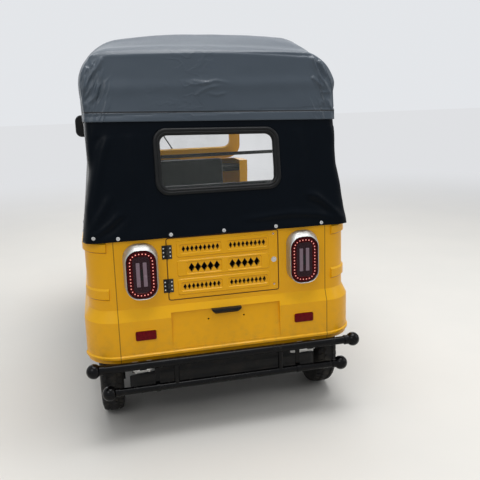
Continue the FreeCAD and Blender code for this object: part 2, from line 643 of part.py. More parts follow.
def rear_axle():
    """Axle tube with its final drive, drum plates, stub ends and the shaft from the engine."""
    y, z = y_rear_axle, wheel_r
    tube = rod(V(-470, y, z), V(470, y, z), axle_tube_r)
    bulb = Part.Face(wire_of([(V(-120, y, z), V(-120, y, z + 31)), (V(-120, y, z + 31), V(-60, y, z + 66)),
                              (V(-60, y, z + 66), V(0, y, z + 88), V(60, y, z + 66)),
                              (V(60, y, z + 66), V(120, y, z + 31)), (V(120, y, z + 31), V(120, y, z)),
                              (V(120, y, z), V(-120, y, z))])).revolve(V(0, y, z), V(1, 0, 0), 360)
    nose = Part.makeCone(58, 30, 140, V(0, y + 30, z), V(0, 1, 0))
    flange = rod(V(0, y + 165, z), V(0, y + 182, z), 40)
    shaft = rod(V(0, y + 180, z), V(0, engine_box[2] - 24, wheel_r + 65), 20)
    coupling = rod(V(0, engine_box[2] - 30, wheel_r + 65), V(0, engine_box[2], wheel_r + 65), 40)
    ends = []
    for side in (-1, 1):
        plate_in, plate_out = side * 488, side * 498
        ends.append(rod(V(side * 468, y, z), V(plate_in, y, z), 44))
        ends.append(rod(V(plate_in, y, z), V(plate_out, y, z), drum_r + 4))
        ends.append(rod(V(plate_out, y, z), V(side * (rear_wheel_x + 24), y, z), axle_r))
    return fused([tube, bulb, nose, flange, shaft, coupling] + ends)


def engine_block():
    return box(*engine_box)


def exhaust_silencer():
    can = rod(V(470, 60, 300), V(470, -330, 300), 34)
    caps = [Part.makeCone(34, 18, 30, V(470, 60, 300), V(0, 1, 0)),
            Part.makeCone(34, 16, 30, V(470, -330, 300), V(0, -1, 0))]
    route = [V(engine_box[1], 240, 296), V(330, 240, 296), V(470, 200, 300), V(470, 85, 300)]
    pipe = bent_tube(route, [60, 60], 16)
    tail = bent_tube([V(470, -355, 300), V(470, -500, 300), V(540, -560, 292)], [60], 13)
    hanger = box(460, 480, -180, -160, 330, floor_z - seat_gap)
    return fused([can, pipe, tail, hanger] + caps)


# Floors and inner panels

def floor_pan():
    """Cab floor with its ribs, cut for the engine, the wheel well and the cowl, and the two sills."""
    top = floor_z + floor_t
    back, front = seat_front + 0.5, well_back_low + 20
    deck = box(-body_half_w + 1, body_half_w - 1, back, front, floor_z, top)
    ribs = [box(x - 12, x + 12, seat_front + 40, -150, top, top + 5) for x in range(-500, 501, 125)]
    x0, x1, y0, y1 = engine_box[:4]
    engine_hole = box(x0 - 30, x1 + 30, y0 - 30, y1 + 30, floor_z - 5, floor_z + 20)
    rear_trim = box(-700, 700, -700, back, 300, 500)
    well = box(-well_half_w - 5, well_half_w + 5, well_back_low - 6, 900, 300, 500)
    inside_cowl = cowl_solid(cowl_skin + gap).common(box(-700, 700, cowl_back, 1200, 300, 500))
    behind_cowl = box(-700, 700, -800, cowl_back - gap, 300, 500)
    deck = deck.common(fused([behind_cowl, inside_cowl]))
    posts = [box(x, x + 245, cowl_back - gap, cowl_back + 6 + gap, 300, 500) for x in (455, -700)]
    room = [engine_hole, rear_trim, well, neck_tube(neck_r + gap)] + posts
    return cut(fused([deck] + sill(-1) + sill(1) + ribs), *room)


def sill(side):
    """Channel below the door, with its lower edge drawn in, and the floor's edge above it."""
    out, inn = side * (body_half_w + 5), side * (body_half_w - 35)
    back, front = tub_front_low + gap, cowl_back - gap
    profile = [(inn, floor_z), (out, floor_z), (out, floor_z - 41), (out - side * 18, floor_z - sill_h),
               (inn, floor_z - sill_h)]
    x0, x1 = sorted((inn, out))
    edge = box(x0, x1, back, front, floor_z, floor_z + floor_t)
    return [polygon_prism(profile, "y", back, front - back), edge]


def rear_tub():
    """Boot floor, wheel tubs, seat riser and deck, and the sloping board behind the seat."""
    t, half = 5.0, body_half_w - skin - seat_gap
    z0, z1 = floor_z, floor_z + t
    tub_in, tub_top = 470.0, 530.0
    tub_y0, tub_y1 = y_rear_axle - 262.0, y_rear_axle + 262.0
    floor_ = box(-half, half, y_hatch + 8.0, seat_front, z0, z1)
    tubs, holes = [], []
    for side in (-1, 1):
        x0, x1 = sorted((side * tub_in, side * half))
        tubs.append(box(x0, x1, tub_y0, tub_y1, z0, tub_top))
        h0, h1 = sorted((side * (tub_in + t), side * (half + 30)))
        holes.append(box(h0, h1, tub_y0 + t, tub_y1 - t, z0 - 5, tub_top - t))
    riser = box(-half, half, seat_front - t, seat_front, z0, seat_deck_z)
    deck = box(-half, half, -1010.0, seat_front, seat_deck_z - t, seat_deck_z)
    board = polygon_prism([(-1010, seat_deck_z), (-1010 + t, seat_deck_z), (board_top_y + t, belt_z - 10),
                           (board_top_y, belt_z - 10)], "x", -540.0, 1080.0)
    inside = Part.makeLoft([tub_outline(skin + seat_gap, 0, z, -300.0) for z in (300.0, 1000.0)], True, True)
    whole = fused([floor_, riser, deck, board] + tubs).common(inside)
    return cut(whole, *holes)


def driver_back_y(z):
    """The sloping rear face of the driver's backrest."""
    return -72.0 - 8.0 * (z - seat_deck_z - 95) / 450.0


def driver_seat_box():
    """Engine cover that carries the driver's seat, with the low partition behind it."""
    t = 5.0
    x1, y0, y1 = 255.0, -70.0, 415.0
    z0 = floor_z + floor_t
    outer = box(-x1, x1, y0, y1, z0, seat_deck_z)
    inner = box(-x1 + t, x1 - t, y0 + t, y1 - t, z0 - 1, seat_deck_z - t)
    slots = [box(-x1 - 5, x1 + 5, 60 + 40 * i, 78 + 40 * i, 470, 560) for i in range(8)]
    wall = round_plate(0, (z0 + 800) / 2, 1160, 800 - z0, 60, -92, -92 + t)
    low = box(-580, 580, -92, -92 + t, z0, z0 + 70)
    beads = [round_plate(x, 600, 250, 260, 40, -92 - 4, -92) for x in (-420, -140, 140, 420)]
    tie = box(-x1, x1, -92, y0, z0, z0 + 40)
    side_view = [(-92, 560), (-84, 560), (-84, 742), (driver_back_y(745) - seat_gap, 745),
                 (driver_back_y(1010) - seat_gap, 1010), (-92, 1010)]
    bars = [polygon_prism(side_view, "x", x - 18, 36.0) for x in (-150, 150)]
    return fused([cut(outer, inner, *slots), wall, low, tie] + beads + bars)


# Front body

def cowl_outline(inset, w, nose, z):
    w, nose, big, small = w - inset, nose - inset, nose_r - inset, cowl_corner_r - inset
    cy = nose - big
    sx = w - small
    sy = cy + math.sqrt((big - small) ** 2 - sx ** 2)
    a = math.atan2(sy - cy, sx)
    join = V(big * math.cos(a), cy + big * math.sin(a), z)
    mid = V(sx + small * math.cos(a / 2), sy + small * math.sin(a / 2), z)
    back = cowl_back + (0.0 if inset == 0 else -10.0)

    def flip(p):
        return V(-p.x, p.y, p.z)
    side = V(w, sy, z)
    return wire_of([
        (V(w, back, z), side),
        (side, mid, join),
        (join, V(0, nose, z), flip(join)),
        (flip(join), flip(mid), flip(side)),
        (flip(side), V(-w, back, z)),
        (V(-w, back, z), V(w, back, z)),
    ])


def cowl_solid(inset):
    levels = list(cowl_levels)
    if inset:
        levels[0] = (levels[0][0] - 1, levels[0][1], levels[0][2])
        levels[-1] = (levels[-1][0] + 1, levels[-1][1], levels[-1][2])
    return Part.makeLoft([cowl_outline(inset, w, nose, z) for z, w, nose in levels], True, True)


def door_post(side):
    """Flange that closes the cowl's rear edge toward the door, level by level."""
    pieces = []
    y0, y1 = cowl_back, cowl_back + 6
    for (z0, w0, n0), (z1, w1, n1) in zip(cowl_levels, cowl_levels[1:]):
        wires = []
        for z, w in ((z0, w0), (z1, w1)):
            a, b = side * (w - 1.5), side * (w - 62)
            wires.append(Part.makePolygon([V(a, y0, z), V(b, y0, z), V(b, y1, z), V(a, y1, z), V(a, y0, z)]))
        pieces.append(Part.makeLoft(wires, True, True))
    return pieces


def front_cowl():
    """Bulged nose with the wheel arch and lamp holes, flanges toward the doors and a lid below the screen."""
    shell = cut(cowl_solid(0), cowl_solid(cowl_skin))
    arch = round_plate(0, 300, 2 * well_half_w, 570, 110, 640, 1300)
    top = cowl_levels[-1][0]
    lid = cowl_solid(1.0).common(box(-700, 700, cowl_back, 1200, top - 6, top))
    lid = cut(lid, box(-528, 528, 0, 872, top - 20, top + 20))
    lamps = [Part.makeCylinder(head_lamp_r - 14, 200, V(x, 960, head_lamp_z), V(0, 1, 0))
             for x in (-head_lamp_x, head_lamp_x)]
    return cut(fused([cut(shell, arch), lid] + door_post(-1) + door_post(1)), *lamps)


def wheel_well():
    """Box over the front wheel: sloping toe board, roof with the column hole, and two cheeks."""
    t = 4.0
    w, top = well_half_w, well_top
    toe = polygon_prism([(well_back_low - t, floor_z), (well_back_low, floor_z), (well_back_top, top - t),
                         (1200, top - t), (1200, top), (well_back_top - t, top)], "x", -w, 2 * w)
    side_view = [(well_back_low - t, floor_z), (1200, floor_z), (1200, top), (well_back_top - t, top)]
    cheek = polygon_prism(side_view, "x", w, t)
    inside = cowl_solid(cowl_skin + seat_gap)
    hole = rod(steer_point(0, 330), steer_point(0, 520), head_r + 0.4)
    return cut(fused([toe] + both(cheek)).common(inside), hole, neck_tube(neck_r + gap))


def head_lamp_bezel():
    y0, y1 = 985.0, head_lamp_front
    ring = rod(V(head_lamp_x, y0, head_lamp_z), V(head_lamp_x, y1, head_lamp_z), head_lamp_r)
    front_edge = [e for e in ring.Edges if abs(e.CenterOfMass.y - y1) < 1e-6 and len(e.Vertexes) == 1]
    ring = ring.makeFillet(8, front_edge)
    bore = rod(V(head_lamp_x, y0 + 6, head_lamp_z), V(head_lamp_x, y1 + 5, head_lamp_z), head_lamp_r - 12)
    return cut(ring, bore, cowl_solid(0))


def head_lamp_lens():
    r = head_lamp_r - 12.4
    y1 = head_lamp_front - 8
    dome_r = 160.0
    ball = Part.makeSphere(dome_r, V(head_lamp_x, y1 + 8 - dome_r, head_lamp_z))
    body = rod(V(head_lamp_x, y1 - 60, head_lamp_z), V(head_lamp_x, y1 + 20, head_lamp_z), r)
    return body.common(ball).cut(cowl_solid(0))


def front_indicator():
    x, z, front, dome_r = indicator_x, indicator_z, indicator_front, 2 * indicator_r
    base = rod(V(x, front - 85, z), V(x, front, z), indicator_r)
    ball = Part.makeSphere(dome_r, V(x, front - dome_r, z))
    return cut(base.common(ball), cowl_solid(0))


def dashboard():
    slab_view = [(790, 1000), (806, 985), (1040, 985), (1040, 1034), (800, 1034), (790, 1024)]
    slab = polygon_prism(slab_view, "x", -600.0, 1200.0)
    pod = polygon_prism([(832, 1034), (838, 1088), (850, 1098), (868, 1098), (868, 1034)], "x", -85.0, 170.0)
    dial = Part.makeCylinder(26, 6, V(0, 837, 1062), V(0, -1, 0.11))
    slab = slab.common(cowl_solid(cowl_skin + seat_gap))
    swept = math.hypot(clamp_w / 2, clamp_d / 2) + 5.0
    column = rod(steer_point(0, 700), steer_point(0, 960), swept)
    return cut(fused([slab, pod, dial]), column)


def screen_place(shape):
    """Tips a shape drawn upright in the XZ plane, foot at the origin, into the windscreen plane."""
    lean = math.degrees(math.atan2(screen_foot_y - screen_head_y, screen_head_z - screen_foot_z))
    moved = shape.copy()
    moved.rotate(V(0, 0, 0), V(1, 0, 0), lean)
    moved.translate(V(0, screen_foot_y, screen_foot_z))
    return moved


def screen_outline(side, foot, head, r, y):
    """Outline of the windscreen frame, drawn in by side, foot and head."""
    height = math.hypot(screen_head_z - screen_foot_z, screen_foot_y - screen_head_y)
    slope = (screen_low_half - screen_high_half) / height
    low, high = screen_low_half - side - slope * foot, screen_high_half - side + slope * head
    z0, z1 = foot, height - head
    corners = [V(-low, y, z0), V(low, y, z0), V(high, y, z1), V(-high, y, z1)]
    edges, ends = [], []
    for i, p in enumerate(corners):
        a, b = corners[i - 1], corners[(i + 1) % 4]
        u, w = (a - p).normalize(), (b - p).normalize()
        half = math.acos(u.dot(w)) / 2
        back = r / math.tan(half)
        tip = p + (u + w).normalize() * (r / math.sin(half) - r)
        ends.append((p + u * back, tip, p + w * back))
    for i, (a, m, b) in enumerate(ends):
        edges.append((a, m, b))
        edges.append((b, ends[(i + 1) % 4][0]))
    return wire_of(edges)


def screen_slab(inset, y0, y1):
    return Part.Face(screen_outline(inset, inset, inset, screen_corner_r - inset, y0)).extrude(V(0, y1 - y0, 0))


def pane_slab(grow, y0, y1):
    """The opening of the windscreen frame, grown on all sides."""
    side, foot, head = screen_pillar - grow, screen_foot - grow, screen_head - grow
    return Part.Face(screen_outline(side, foot, head, pane_corner_r + grow, y0)).extrude(V(0, y1 - y0, 0))


def windscreen_frame():
    half = screen_depth / 2
    opening, groove = pane_slab(0, -half - 5, half + 5), pane_slab(pane_hold, -1, glass_t + 1.6)
    return screen_place(cut(screen_slab(0, -half, half), opening, groove))


def windscreen_glass():
    return screen_place(pane_slab(pane_hold - gap, 0, glass_t))


def wiper():
    y = screen_depth / 2
    hub = rod(V(70, y, 24), V(70, y + 18, 24), 13)
    arm = rod(V(70, y + 12, 24), V(-90, glass_t + 8, 294), 5)
    blade = rod(V(-185, glass_t + 4 + seat_gap, 130), V(-5, glass_t + 4 + seat_gap, 440), 4)
    return screen_place(fused([hub, arm, blade]))


def mirror():
    """Right-hand mirror on a bent arm from the windscreen pillar."""
    foot = V(screen_high_half + 8, 806, 1480)
    arm = bent_tube([foot, V(610, 815, 1490), V(640, 820, 1440)], [18], 6)
    rings = [(96, 150, 40, 812.0), (110, 164, 46, 822.0), (84, 138, 36, 840.0)]
    head = Part.makeLoft([round_rect_wire(645, 1390, *ring) for ring in rings], True, True)
    half = screen_depth / 2 + seat_gap
    return cut(fused([arm, head]), screen_place(screen_slab(-seat_gap, -half, half)))


# Canopy, its hoops and window

def canopy_outline(station, inset, low_z=belt_z - 2.0):
    y_low, y_top, w_belt, w_waist, z_waist, z_sh, w_roof, z_side, z_mid, full = station
    w_belt, w_waist, w_roof = w_belt - inset, w_waist - inset, w_roof - inset * 0.4
    z_side, z_mid = z_side - inset, z_mid - inset

    def at(x, z):
        share = (z - belt_z) / (1786.0 - belt_z)
        return V(x, y_low + (y_top - y_low) * share, z)
    w_sh = w_waist + 4
    mx, mz = w_roof + (w_sh - w_roof) * full, z_sh + (z_side - z_sh) * full
    right = [(at(w_belt, low_z), at(w_waist, z_waist)), (at(w_waist, z_waist), at(w_sh, z_sh)),
             (at(w_sh, z_sh), at(mx, mz), at(w_roof, z_side))]
    top = (at(w_roof, z_side), at(0, z_mid), at(-w_roof, z_side))

    def flip(step):
        return tuple(V(-p.x, p.y, p.z) for p in reversed(step))
    left = [flip(s) for s in reversed(right)]
    return wire_of(right + [top] + left + [(at(-w_belt, low_z), at(w_belt, low_z))])


def moved_station(station, dy):
    return (station[0] + dy, station[1] + dy) + station[2:]


def canopy_solid(inset):
    stations = list(canopy_stations)
    low_z = belt_z + seat_gap
    if inset:
        low_z = belt_z - 6.0
        stations = [moved_station(stations[0], inset), moved_station(stations[1], inset)] + \
                   [moved_station(stations[2], inset)] + stations[3:-1] + [moved_station(stations[-1], 20.0)]
    return Part.makeLoft([canopy_outline(s, inset, low_z) for s in stations], True, True)


def rear_face_place(shape):
    """Tips a shape drawn upright in the XZ plane at its real height on to the sloping back of the canopy."""
    s = canopy_stations[0]
    lean = math.degrees(math.atan2(s[1] - s[0], 1786.0 - belt_z))
    moved = shape.copy()
    moved.translate(V(0, 0, -belt_z))
    moved.rotate(V(0, 0, 0), V(1, 0, 0), -lean)
    moved.translate(V(0, s[0], belt_z))
    return moved


def canopy():
    """Rear curtain and roof cover as one shell, the cover's skirt standing out over the curtain."""
    shell = cut(canopy_solid(0), canopy_solid(canopy_t))
    cover = cut(canopy_solid(-skirt_t), canopy_solid(canopy_t / 2))
    cover = cover.common(box(-800, 800, -1400, 900, skirt_hem, 2000))
    side_view = [(quarter_front, 900), (quarter_front, valance_z - 60), (quarter_front + 40, valance_z),
                 (900, valance_z - 30), (900, 900)]
    doors = polygon_prism(side_view, "x", -800.0, 1600.0)
    front = box(-800, 800, 760, 900, 900, 2000)
    w, h, r = 2 * (window_half_w - 12), window_h - 24, window_r - 12
    window = rear_face_place(round_plate(0, window_z, w, h, r, -60, 60))
    return cut(fused([shell, cover]), doors, front, window)


def window_seal():
    outer = round_plate(0, window_z, 2 * window_half_w, window_h, window_r, -9, 15)
    hole = round_plate(0, window_z + 4, 2 * (window_half_w - window_band), window_h - 2 * window_band - 8,
                       window_r - window_band + 6, -20, 30)
    w, h = 2 * (window_half_w - 12), window_h - 24
    groove = round_plate(0, window_z, w + 30, h + 30, window_r + 3, -0.5, canopy_t + 0.9)
    keep = round_plate(0, window_z, w - 1.0, h - 1.0, window_r - 12.5, -20, 30)
    slot = round_plate(0, window_z + 4, 2 * (window_half_w - window_band) + 16, window_h - 2 * window_band + 8,
                       window_r - window_band + 14, 1.2, 5.2)
    return rear_face_place(cut(outer, hole, cut(groove, keep), slot))


def window_pane():
    return rear_face_place(round_plate(0, window_z + 4, 2 * (window_half_w - window_band) + 15,
                                       window_h - 2 * window_band + 7, window_r - window_band + 13.5, 1.6, 4.8))


def hoop(y_foot, y_top, half, shoulder_z, roof_half, top_z, foot_z, r):
    side = half
    pts = [V(-side, y_foot, foot_z), V(-side, (y_foot + y_top) / 2, shoulder_z), V(-roof_half, y_top, top_z),
           V(roof_half, y_top, top_z), V(side, (y_foot + y_top) / 2, shoulder_z), V(side, y_foot, foot_z)]
    return bent_tube(pts, [120, 90, 90, 120], r)


def hoop_frame():
    """Bows of the canopy, their long rails, the cross bar behind the driver and the front rail."""
    r = 12.0
    rear = hoop(-1150.0, -1092.0, rear_hoop_half, 1590.0, 420.0, 1748.0, belt_z - 60.0, r)
    middle = hoop(-840.0, -840.0, middle_hoop_half, 1640.0, 410.0, 1830.0, belt_z - 60.0, r)
    inside = Part.makeLoft([tub_outline(skin + seat_gap, 0, z, -300.0) for z in (800.0, 990.0)], True, True)
    feet = []
    for y, x in ((-1148.0, rear_hoop_half), (-840.0, middle_hoop_half)):
        tie = rod(V(-650, y, belt_z - 35), V(650, y, belt_z - 35), 9).common(inside)
        feet.append(cut(tie, box(-x, x, -1300, 0, 800, 990)))
    post = hoop(-100.0, -100.0, post_half, 1660.0, 420.0, 1850.0, floor_z + floor_t, r)
    bar = rod(V(-post_half, -100, 1213), V(post_half, -100, 1213), 11)
    rails = []
    for side in (-1, 1):
        route = [(rear_hoop_half, -1121, 1560), (middle_hoop_half, -840, 1590), (post_half, -100, 1610),
                 (524, 775, 1640)]
        rails.append(bent_tube([V(side * x, y, z) for x, y, z in route], [900, 900], 10))
        rails.append(rod(V(side * rear_hoop_half, -1150, belt_z - 20),
                         V(side * middle_hoop_half, -840, belt_z - 20), 9))
    half_depth = screen_depth / 2 + seat_gap
    return cut(fused([rear, middle, post, bar] + rails + feet), screen_place(screen_slab(-5, -half_depth, 80)))


# Soft pieces, plain here

def passenger_cushion():
    slab = box(-seat_half_w, seat_half_w, -998, seat_front + 18, seat_deck_z + seat_gap, seat_deck_z + 118)
    return slab.makeFillet(28, [e for e in slab.Edges if e.CenterOfMass.z > seat_deck_z + 117])


def passenger_back():
    low, high = seat_deck_z + 122, 1165.0
    t = 86.0
    lean = (belt_z - 10 - seat_deck_z) / (-1010.0 - board_top_y)
    back_low = -1010 + 5 + 0.8 - (low - seat_deck_z) / lean
    back_high = -1010 + 5 + 0.8 - (high - seat_deck_z) / lean
    slab = polygon_prism([(back_low, low), (back_low + t, low), (back_high + t, high), (back_high, high)],
                         "x", -548.0, 1096.0)
    return slab.makeFillet(24, [e for e in slab.Edges if abs(e.CenterOfMass.z - high) < 1e-3])


def driver_cushion():
    slab = box(-248, 248, -40, 405, seat_deck_z + seat_gap, seat_deck_z + 92)
    return slab.makeFillet(26, [e for e in slab.Edges if e.CenterOfMass.z > seat_deck_z + 91])


def driver_back():
    low, high = seat_deck_z + 95, 1185.0
    slab = polygon_prism([(driver_back_y(low), low), (-6, low), (-22, high), (driver_back_y(high), high)],
                         "x", -245.0, 490.0)
    slab = slab.makeFillet(20, [e for e in slab.Edges if abs(e.CenterOfMass.z - high) < 1e-3])
    return slab


# Steering body

def front_fork():
    crown = Part.makeBox(230, 76, crown_t, V(-115, -32, 0))
    crown = crown.makeFillet(24, [e for e in crown.Edges if abs(e.CenterOfMass.z - crown_t / 2) < 1e-6])
    crown.rotate(V(0, 0, 0), V(1, 0, 0), math.degrees(rake))
    crown.translate(steer_point(0, crown_s))
    stem = rod(steer_point(0, crown_s), steer_point(0, bar_s - bar_r - 1), stem_r)
    legs = []
    for x in (-leg_x, leg_x):
        legs.append(rod(steer_point(x, -26, fork_offset), steer_point(x, 190, fork_offset), 19))
        leg_top = steer_point(x, crown_s + crown_t + 6, fork_offset)
        legs.append(rod(steer_point(x, 185, fork_offset), leg_top, 15))
    axle = rod(V(-118, y_front_axle, wheel_r), V(118, y_front_axle, wheel_r), axle_r)
    return fused([crown, stem, axle] + legs)


def handlebar():
    def at(x, fore, lift=0.0):
        return steer_point(x, bar_s + lift, fore)
    bar = bent_tube([at(-288, -112), at(-165, -64), at(-75, 0), at(75, 0), at(165, -64), at(288, -112)],
                    [60, 60, 60, 60], bar_r)
    clamp = Part.makeBox(clamp_w, clamp_d, 56, V(-clamp_w / 2, -clamp_d / 2, -40))
    clamp.rotate(V(0, 0, 0), V(1, 0, 0), math.degrees(rake))
    clamp.translate(steer_point(0, bar_s))
    stem_room = rod(steer_point(0, bar_s - 60), steer_point(0, bar_s - bar_r - 1), stem_r)
    pieces = [bar, cut(clamp, stem_room)]
    for side in (-1, 1):
        tip, root = at(side * 288, -112), at(side * 186, -72)
        pieces.append(rod(root, tip, grip_r))
        pieces.append(rod(at(side * 180, -70), at(side * 156, -58), 21))
        lever = [at(side * 168, -60, -2), at(side * 186, -30, -4), at(side * 286, -68, -6)]
        pieces.append(bent_tube(lever, [12], 4.5))
    return fused(pieces)


def front_mudguard():
    """Rolled band over the front wheel with edge lips, held by stays to the fork legs."""
    y, z = y_front_axle, wheel_r
    rear, fore = math.radians(-72), math.radians(65)

    def at(r, a, x=0.0):
        return V(x, y + r * math.sin(a), z + r * math.cos(a))

    def band(r0, r1, x0, x1):
        mid = (rear + fore) / 2
        wire = wire_of([(at(r1, rear), at(r1, mid), at(r1, fore)), (at(r1, fore), at(r0, fore)),
                        (at(r0, fore), at(r0, mid), at(r0, rear)), (at(r0, rear), at(r1, rear))])
        return Part.Face(wire).extrude(V(x1 - x0, 0, 0)).translate(V(x0, 0, 0))
    g, t, w = guard_r, guard_t, guard_half_w
    pieces = [band(g, g + t, -w, w), band(g - 20, g + t, -w, -w + 3), band(g - 20, g + t, w - 3, w),
              band(g + t - 1, g + t + 2.5, -14, 14)]
    for side in (-1, 1):
        pieces.append(rod(at(g - 8, -rake, side * (w - 2)), at(g - 8, -rake, side * leg_x), 11))
    legs = [rod(steer_point(x, 150, fork_offset), steer_point(x, 400, fork_offset), 15 + seat_gap)
            for x in (-leg_x, leg_x)]
    return cut(fused(pieces), *legs)


def build():
    nodes = {
        "chassis_frame": [chassis_frame()],
        "floor_pan": [floor_pan()],
        "rear_tub": [rear_tub()],
        "driver_seat_box": [driver_seat_box()],
        "rear_panel": [rear_panel()],
        "side_panel_right": [side_panel()],
        "side_panel_left": [mirrored(side_panel())],
        "rear_hatch": [rear_hatch()],
        "hatch_hardware": hinge_plates(1) + [hatch_lock()],
        "hinge_leaves": hinge_plates(-1),
        "tail_lamp_bezels": both(tail_lamp_bezel()),
        "tail_lamp_lenses": both(tail_lamp_lens()),
        "rear_reflectors": both(reflector()),
        "plate_lamp": [plate_lamp()],
        "rear_bumper": [rear_bumper()],
        "rear_axle": [rear_axle()],
        "leaf_springs": both(leaf_spring()) + both(damper()),
        "engine_block": [engine_block()],
        "exhaust_silencer": [exhaust_silencer()],
        "front_cowl": [front_cowl()],
        "wheel_well": [wheel_well()],
        "dashboard": [dashboard()],
        "head_lamp_bezels": both(head_lamp_bezel()),
        "head_lamp_lenses": both(head_lamp_lens()),
        "front_indicators": both(front_indicator()),
        "windscreen_frame": [windscreen_frame()],
        "windscreen_glass": [windscreen_glass()],
        "wiper": [wiper()],
        "mirrors": both(mirror()),
        "hoop_frame": [hoop_frame()],
        "canopy": [canopy()],
        "rear_window_seal": [window_seal()],
        "rear_window_pane": [window_pane()],
        "passenger_cushion": [passenger_cushion()],
        "passenger_back": [passenger_back()],
        "driver_cushion": [driver_cushion()],
        "driver_back": [driver_back()],
        "front_fork": [front_fork()],
        "handlebar": [handlebar()],
        "front_mudguard": [front_mudguard()],
        "front_tyre": [placed(tyre(), 0, y_front_axle, wheel_r)],
        "front_rim": [placed(front_rim(), 0, y_front_axle, wheel_r)],
        "rear_tyre_left": [placed(tyre(), -rear_wheel_x, y_rear_axle, wheel_r)],
        "rear_rim_left": [placed(rim(-1, 30, -50), -rear_wheel_x, y_rear_axle, wheel_r)],
        "rear_tyre_right": [placed(tyre(), rear_wheel_x, y_rear_axle, wheel_r)],
        "rear_rim_right": [placed(rim(1, 30, -50), rear_wheel_x, y_rear_axle, wheel_r)],
    }
    os.makedirs(parts_dir, exist_ok=True)
    for name, shapes in nodes.items():
        solids = [s for shape in shapes for s in shape.Solids]
        whole = solids[0] if len(solids) == 1 else Part.makeCompound(solids)
        bad = [i for i, s in enumerate(solids) if not s.isValid() or s.Volume <= 0]
        b = whole.BoundBox
        print("%-20s %d solids  x %7.1f %7.1f  y %7.1f %7.1f  z %7.1f %7.1f  %s" % (
            name, len(solids), b.XMin, b.XMax, b.YMin, b.YMax, b.ZMin, b.ZMax, "BAD %s" % bad if bad else ""))
        whole.exportStep(os.path.join(parts_dir, name + ".step"))


build()
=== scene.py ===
import json
import math
import bmesh
import bpy
from mathutils import Matrix, Vector, noise
from mathutils.bvhtree import BVHTree


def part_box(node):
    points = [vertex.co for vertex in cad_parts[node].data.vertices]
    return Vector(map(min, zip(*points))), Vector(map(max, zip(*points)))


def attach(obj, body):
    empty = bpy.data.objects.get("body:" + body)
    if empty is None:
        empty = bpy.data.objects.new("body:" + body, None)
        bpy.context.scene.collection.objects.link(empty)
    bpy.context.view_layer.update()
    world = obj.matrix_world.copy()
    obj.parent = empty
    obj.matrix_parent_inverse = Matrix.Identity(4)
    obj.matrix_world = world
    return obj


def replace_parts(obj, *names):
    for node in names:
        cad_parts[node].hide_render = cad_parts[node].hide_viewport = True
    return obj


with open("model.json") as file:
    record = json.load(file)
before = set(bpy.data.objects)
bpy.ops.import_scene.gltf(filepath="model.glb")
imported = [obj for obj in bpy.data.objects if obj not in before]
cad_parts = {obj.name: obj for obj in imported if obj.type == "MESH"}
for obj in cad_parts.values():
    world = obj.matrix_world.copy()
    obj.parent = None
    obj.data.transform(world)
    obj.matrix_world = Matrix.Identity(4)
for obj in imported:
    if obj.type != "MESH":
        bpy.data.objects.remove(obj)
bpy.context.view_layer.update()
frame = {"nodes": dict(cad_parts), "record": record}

nodes = frame["nodes"]
xAxis, yAxis, zAxis = Vector((1, 0, 0)), Vector((0, 1, 0)), Vector((0, 0, 1))
print("frame loaded:", len(nodes), "nodes")

# Shader wiring


def arithmetic(operation, swapped=False):
    # a method that adds a Math node; swapped is for a number that stands left of the Wire
    def method(self, other):
        return self.calc(operation, *((other, self) if swapped else (self, other)))
    return method


class Wire:
    # one socket of a material's node tree; arithmetic on it adds Math nodes
    __add__, __radd__ = arithmetic("ADD"), arithmetic("ADD", True)
    __sub__, __rsub__ = arithmetic("SUBTRACT"), arithmetic("SUBTRACT", True)
    __mul__, __rmul__ = arithmetic("MULTIPLY"), arithmetic("MULTIPLY", True)
    __gt__, __lt__ = arithmetic("GREATER_THAN"), arithmetic("LESS_THAN")

    def __init__(self, tree, socket):
        self.tree, self.socket = tree, socket

    def make(self, kind, settings=None, inputs=None, out=0):
        # any node: its settings first, then the values or links of its sockets
        node = self.tree.nodes.new("ShaderNode" + kind)
        for key, value in (settings or {}).items():
            setattr(node, key, value)
        for key, value in (inputs or {}).items():
            if isinstance(value, Wire):
                self.tree.links.new(value.socket, node.inputs[key])
            elif node.inputs[key].type == "RGBA":
                node.inputs[key].default_value = (*value, 1.0)
            else:
                node.inputs[key].default_value = value
        return Wire(self.tree, node.outputs[out])

    def calc(self, operation, *values):
        return self.make("Math", {"operation": operation}, dict(enumerate(values)))

    def absolute(self):
        return self.calc("ABSOLUTE", self)

    def creased(self, sharpness):
        # thin ridges where a noise passes its middle value
        return 1 - (self - 0.5).absolute() * sharpness

    def sharpen(self, low, high):
        # 0 below low, 1 above high, smooth between
        settings = {"interpolation_type": "SMOOTHSTEP"}
        return self.make("MapRange", settings, {0: self, 1: low, 2: high})

    def axes(self):
        node = self.tree.nodes.new("ShaderNodeSeparateXYZ")
        self.tree.links.new(self.socket, node.inputs[0])
        return [Wire(self.tree, s) for s in node.outputs]

    def noise(self, scale, detail=3.0, rough=0.5, stretch=None):
        place = self if stretch is None else self.make("Mapping", None, {0: self, 3: stretch})
        inputs = {"Vector": place, "Scale": scale, "Detail": detail, "Roughness": rough}
        return self.make("TexNoise", None, inputs)

    def cells(self, scale):
        return self.make("TexVoronoi", None, {"Vector": self, "Scale": scale})

    def tint(self, low, high):
        # a colour from low to high as this value goes from 0 to 1
        return self.make("Mix", {"data_type": "RGBA"}, {0: self, 6: low, 7: high}, 2)

    def bump(self, distance, strength=1.0, under=None):
        inputs = {"Height": self, "Distance": distance, "Strength": strength}
        if under is not None:
            inputs["Normal"] = under
        return self.make("Bump", None, inputs)


def newObject(name, data):
    thing = bpy.data.objects.new(name, data)
    bpy.context.scene.collection.objects.link(thing)
    return thing


def newMaterial(name):
    # the material's object coordinates, from which its shader is wired
    material = bpy.data.materials.new(name)
    material.use_nodes = True
    tree = material.node_tree
    tree.nodes.clear()
    place = Wire(tree, tree.nodes.new("ShaderNodeTexCoord").outputs["Object"])
    place.material = material
    return place


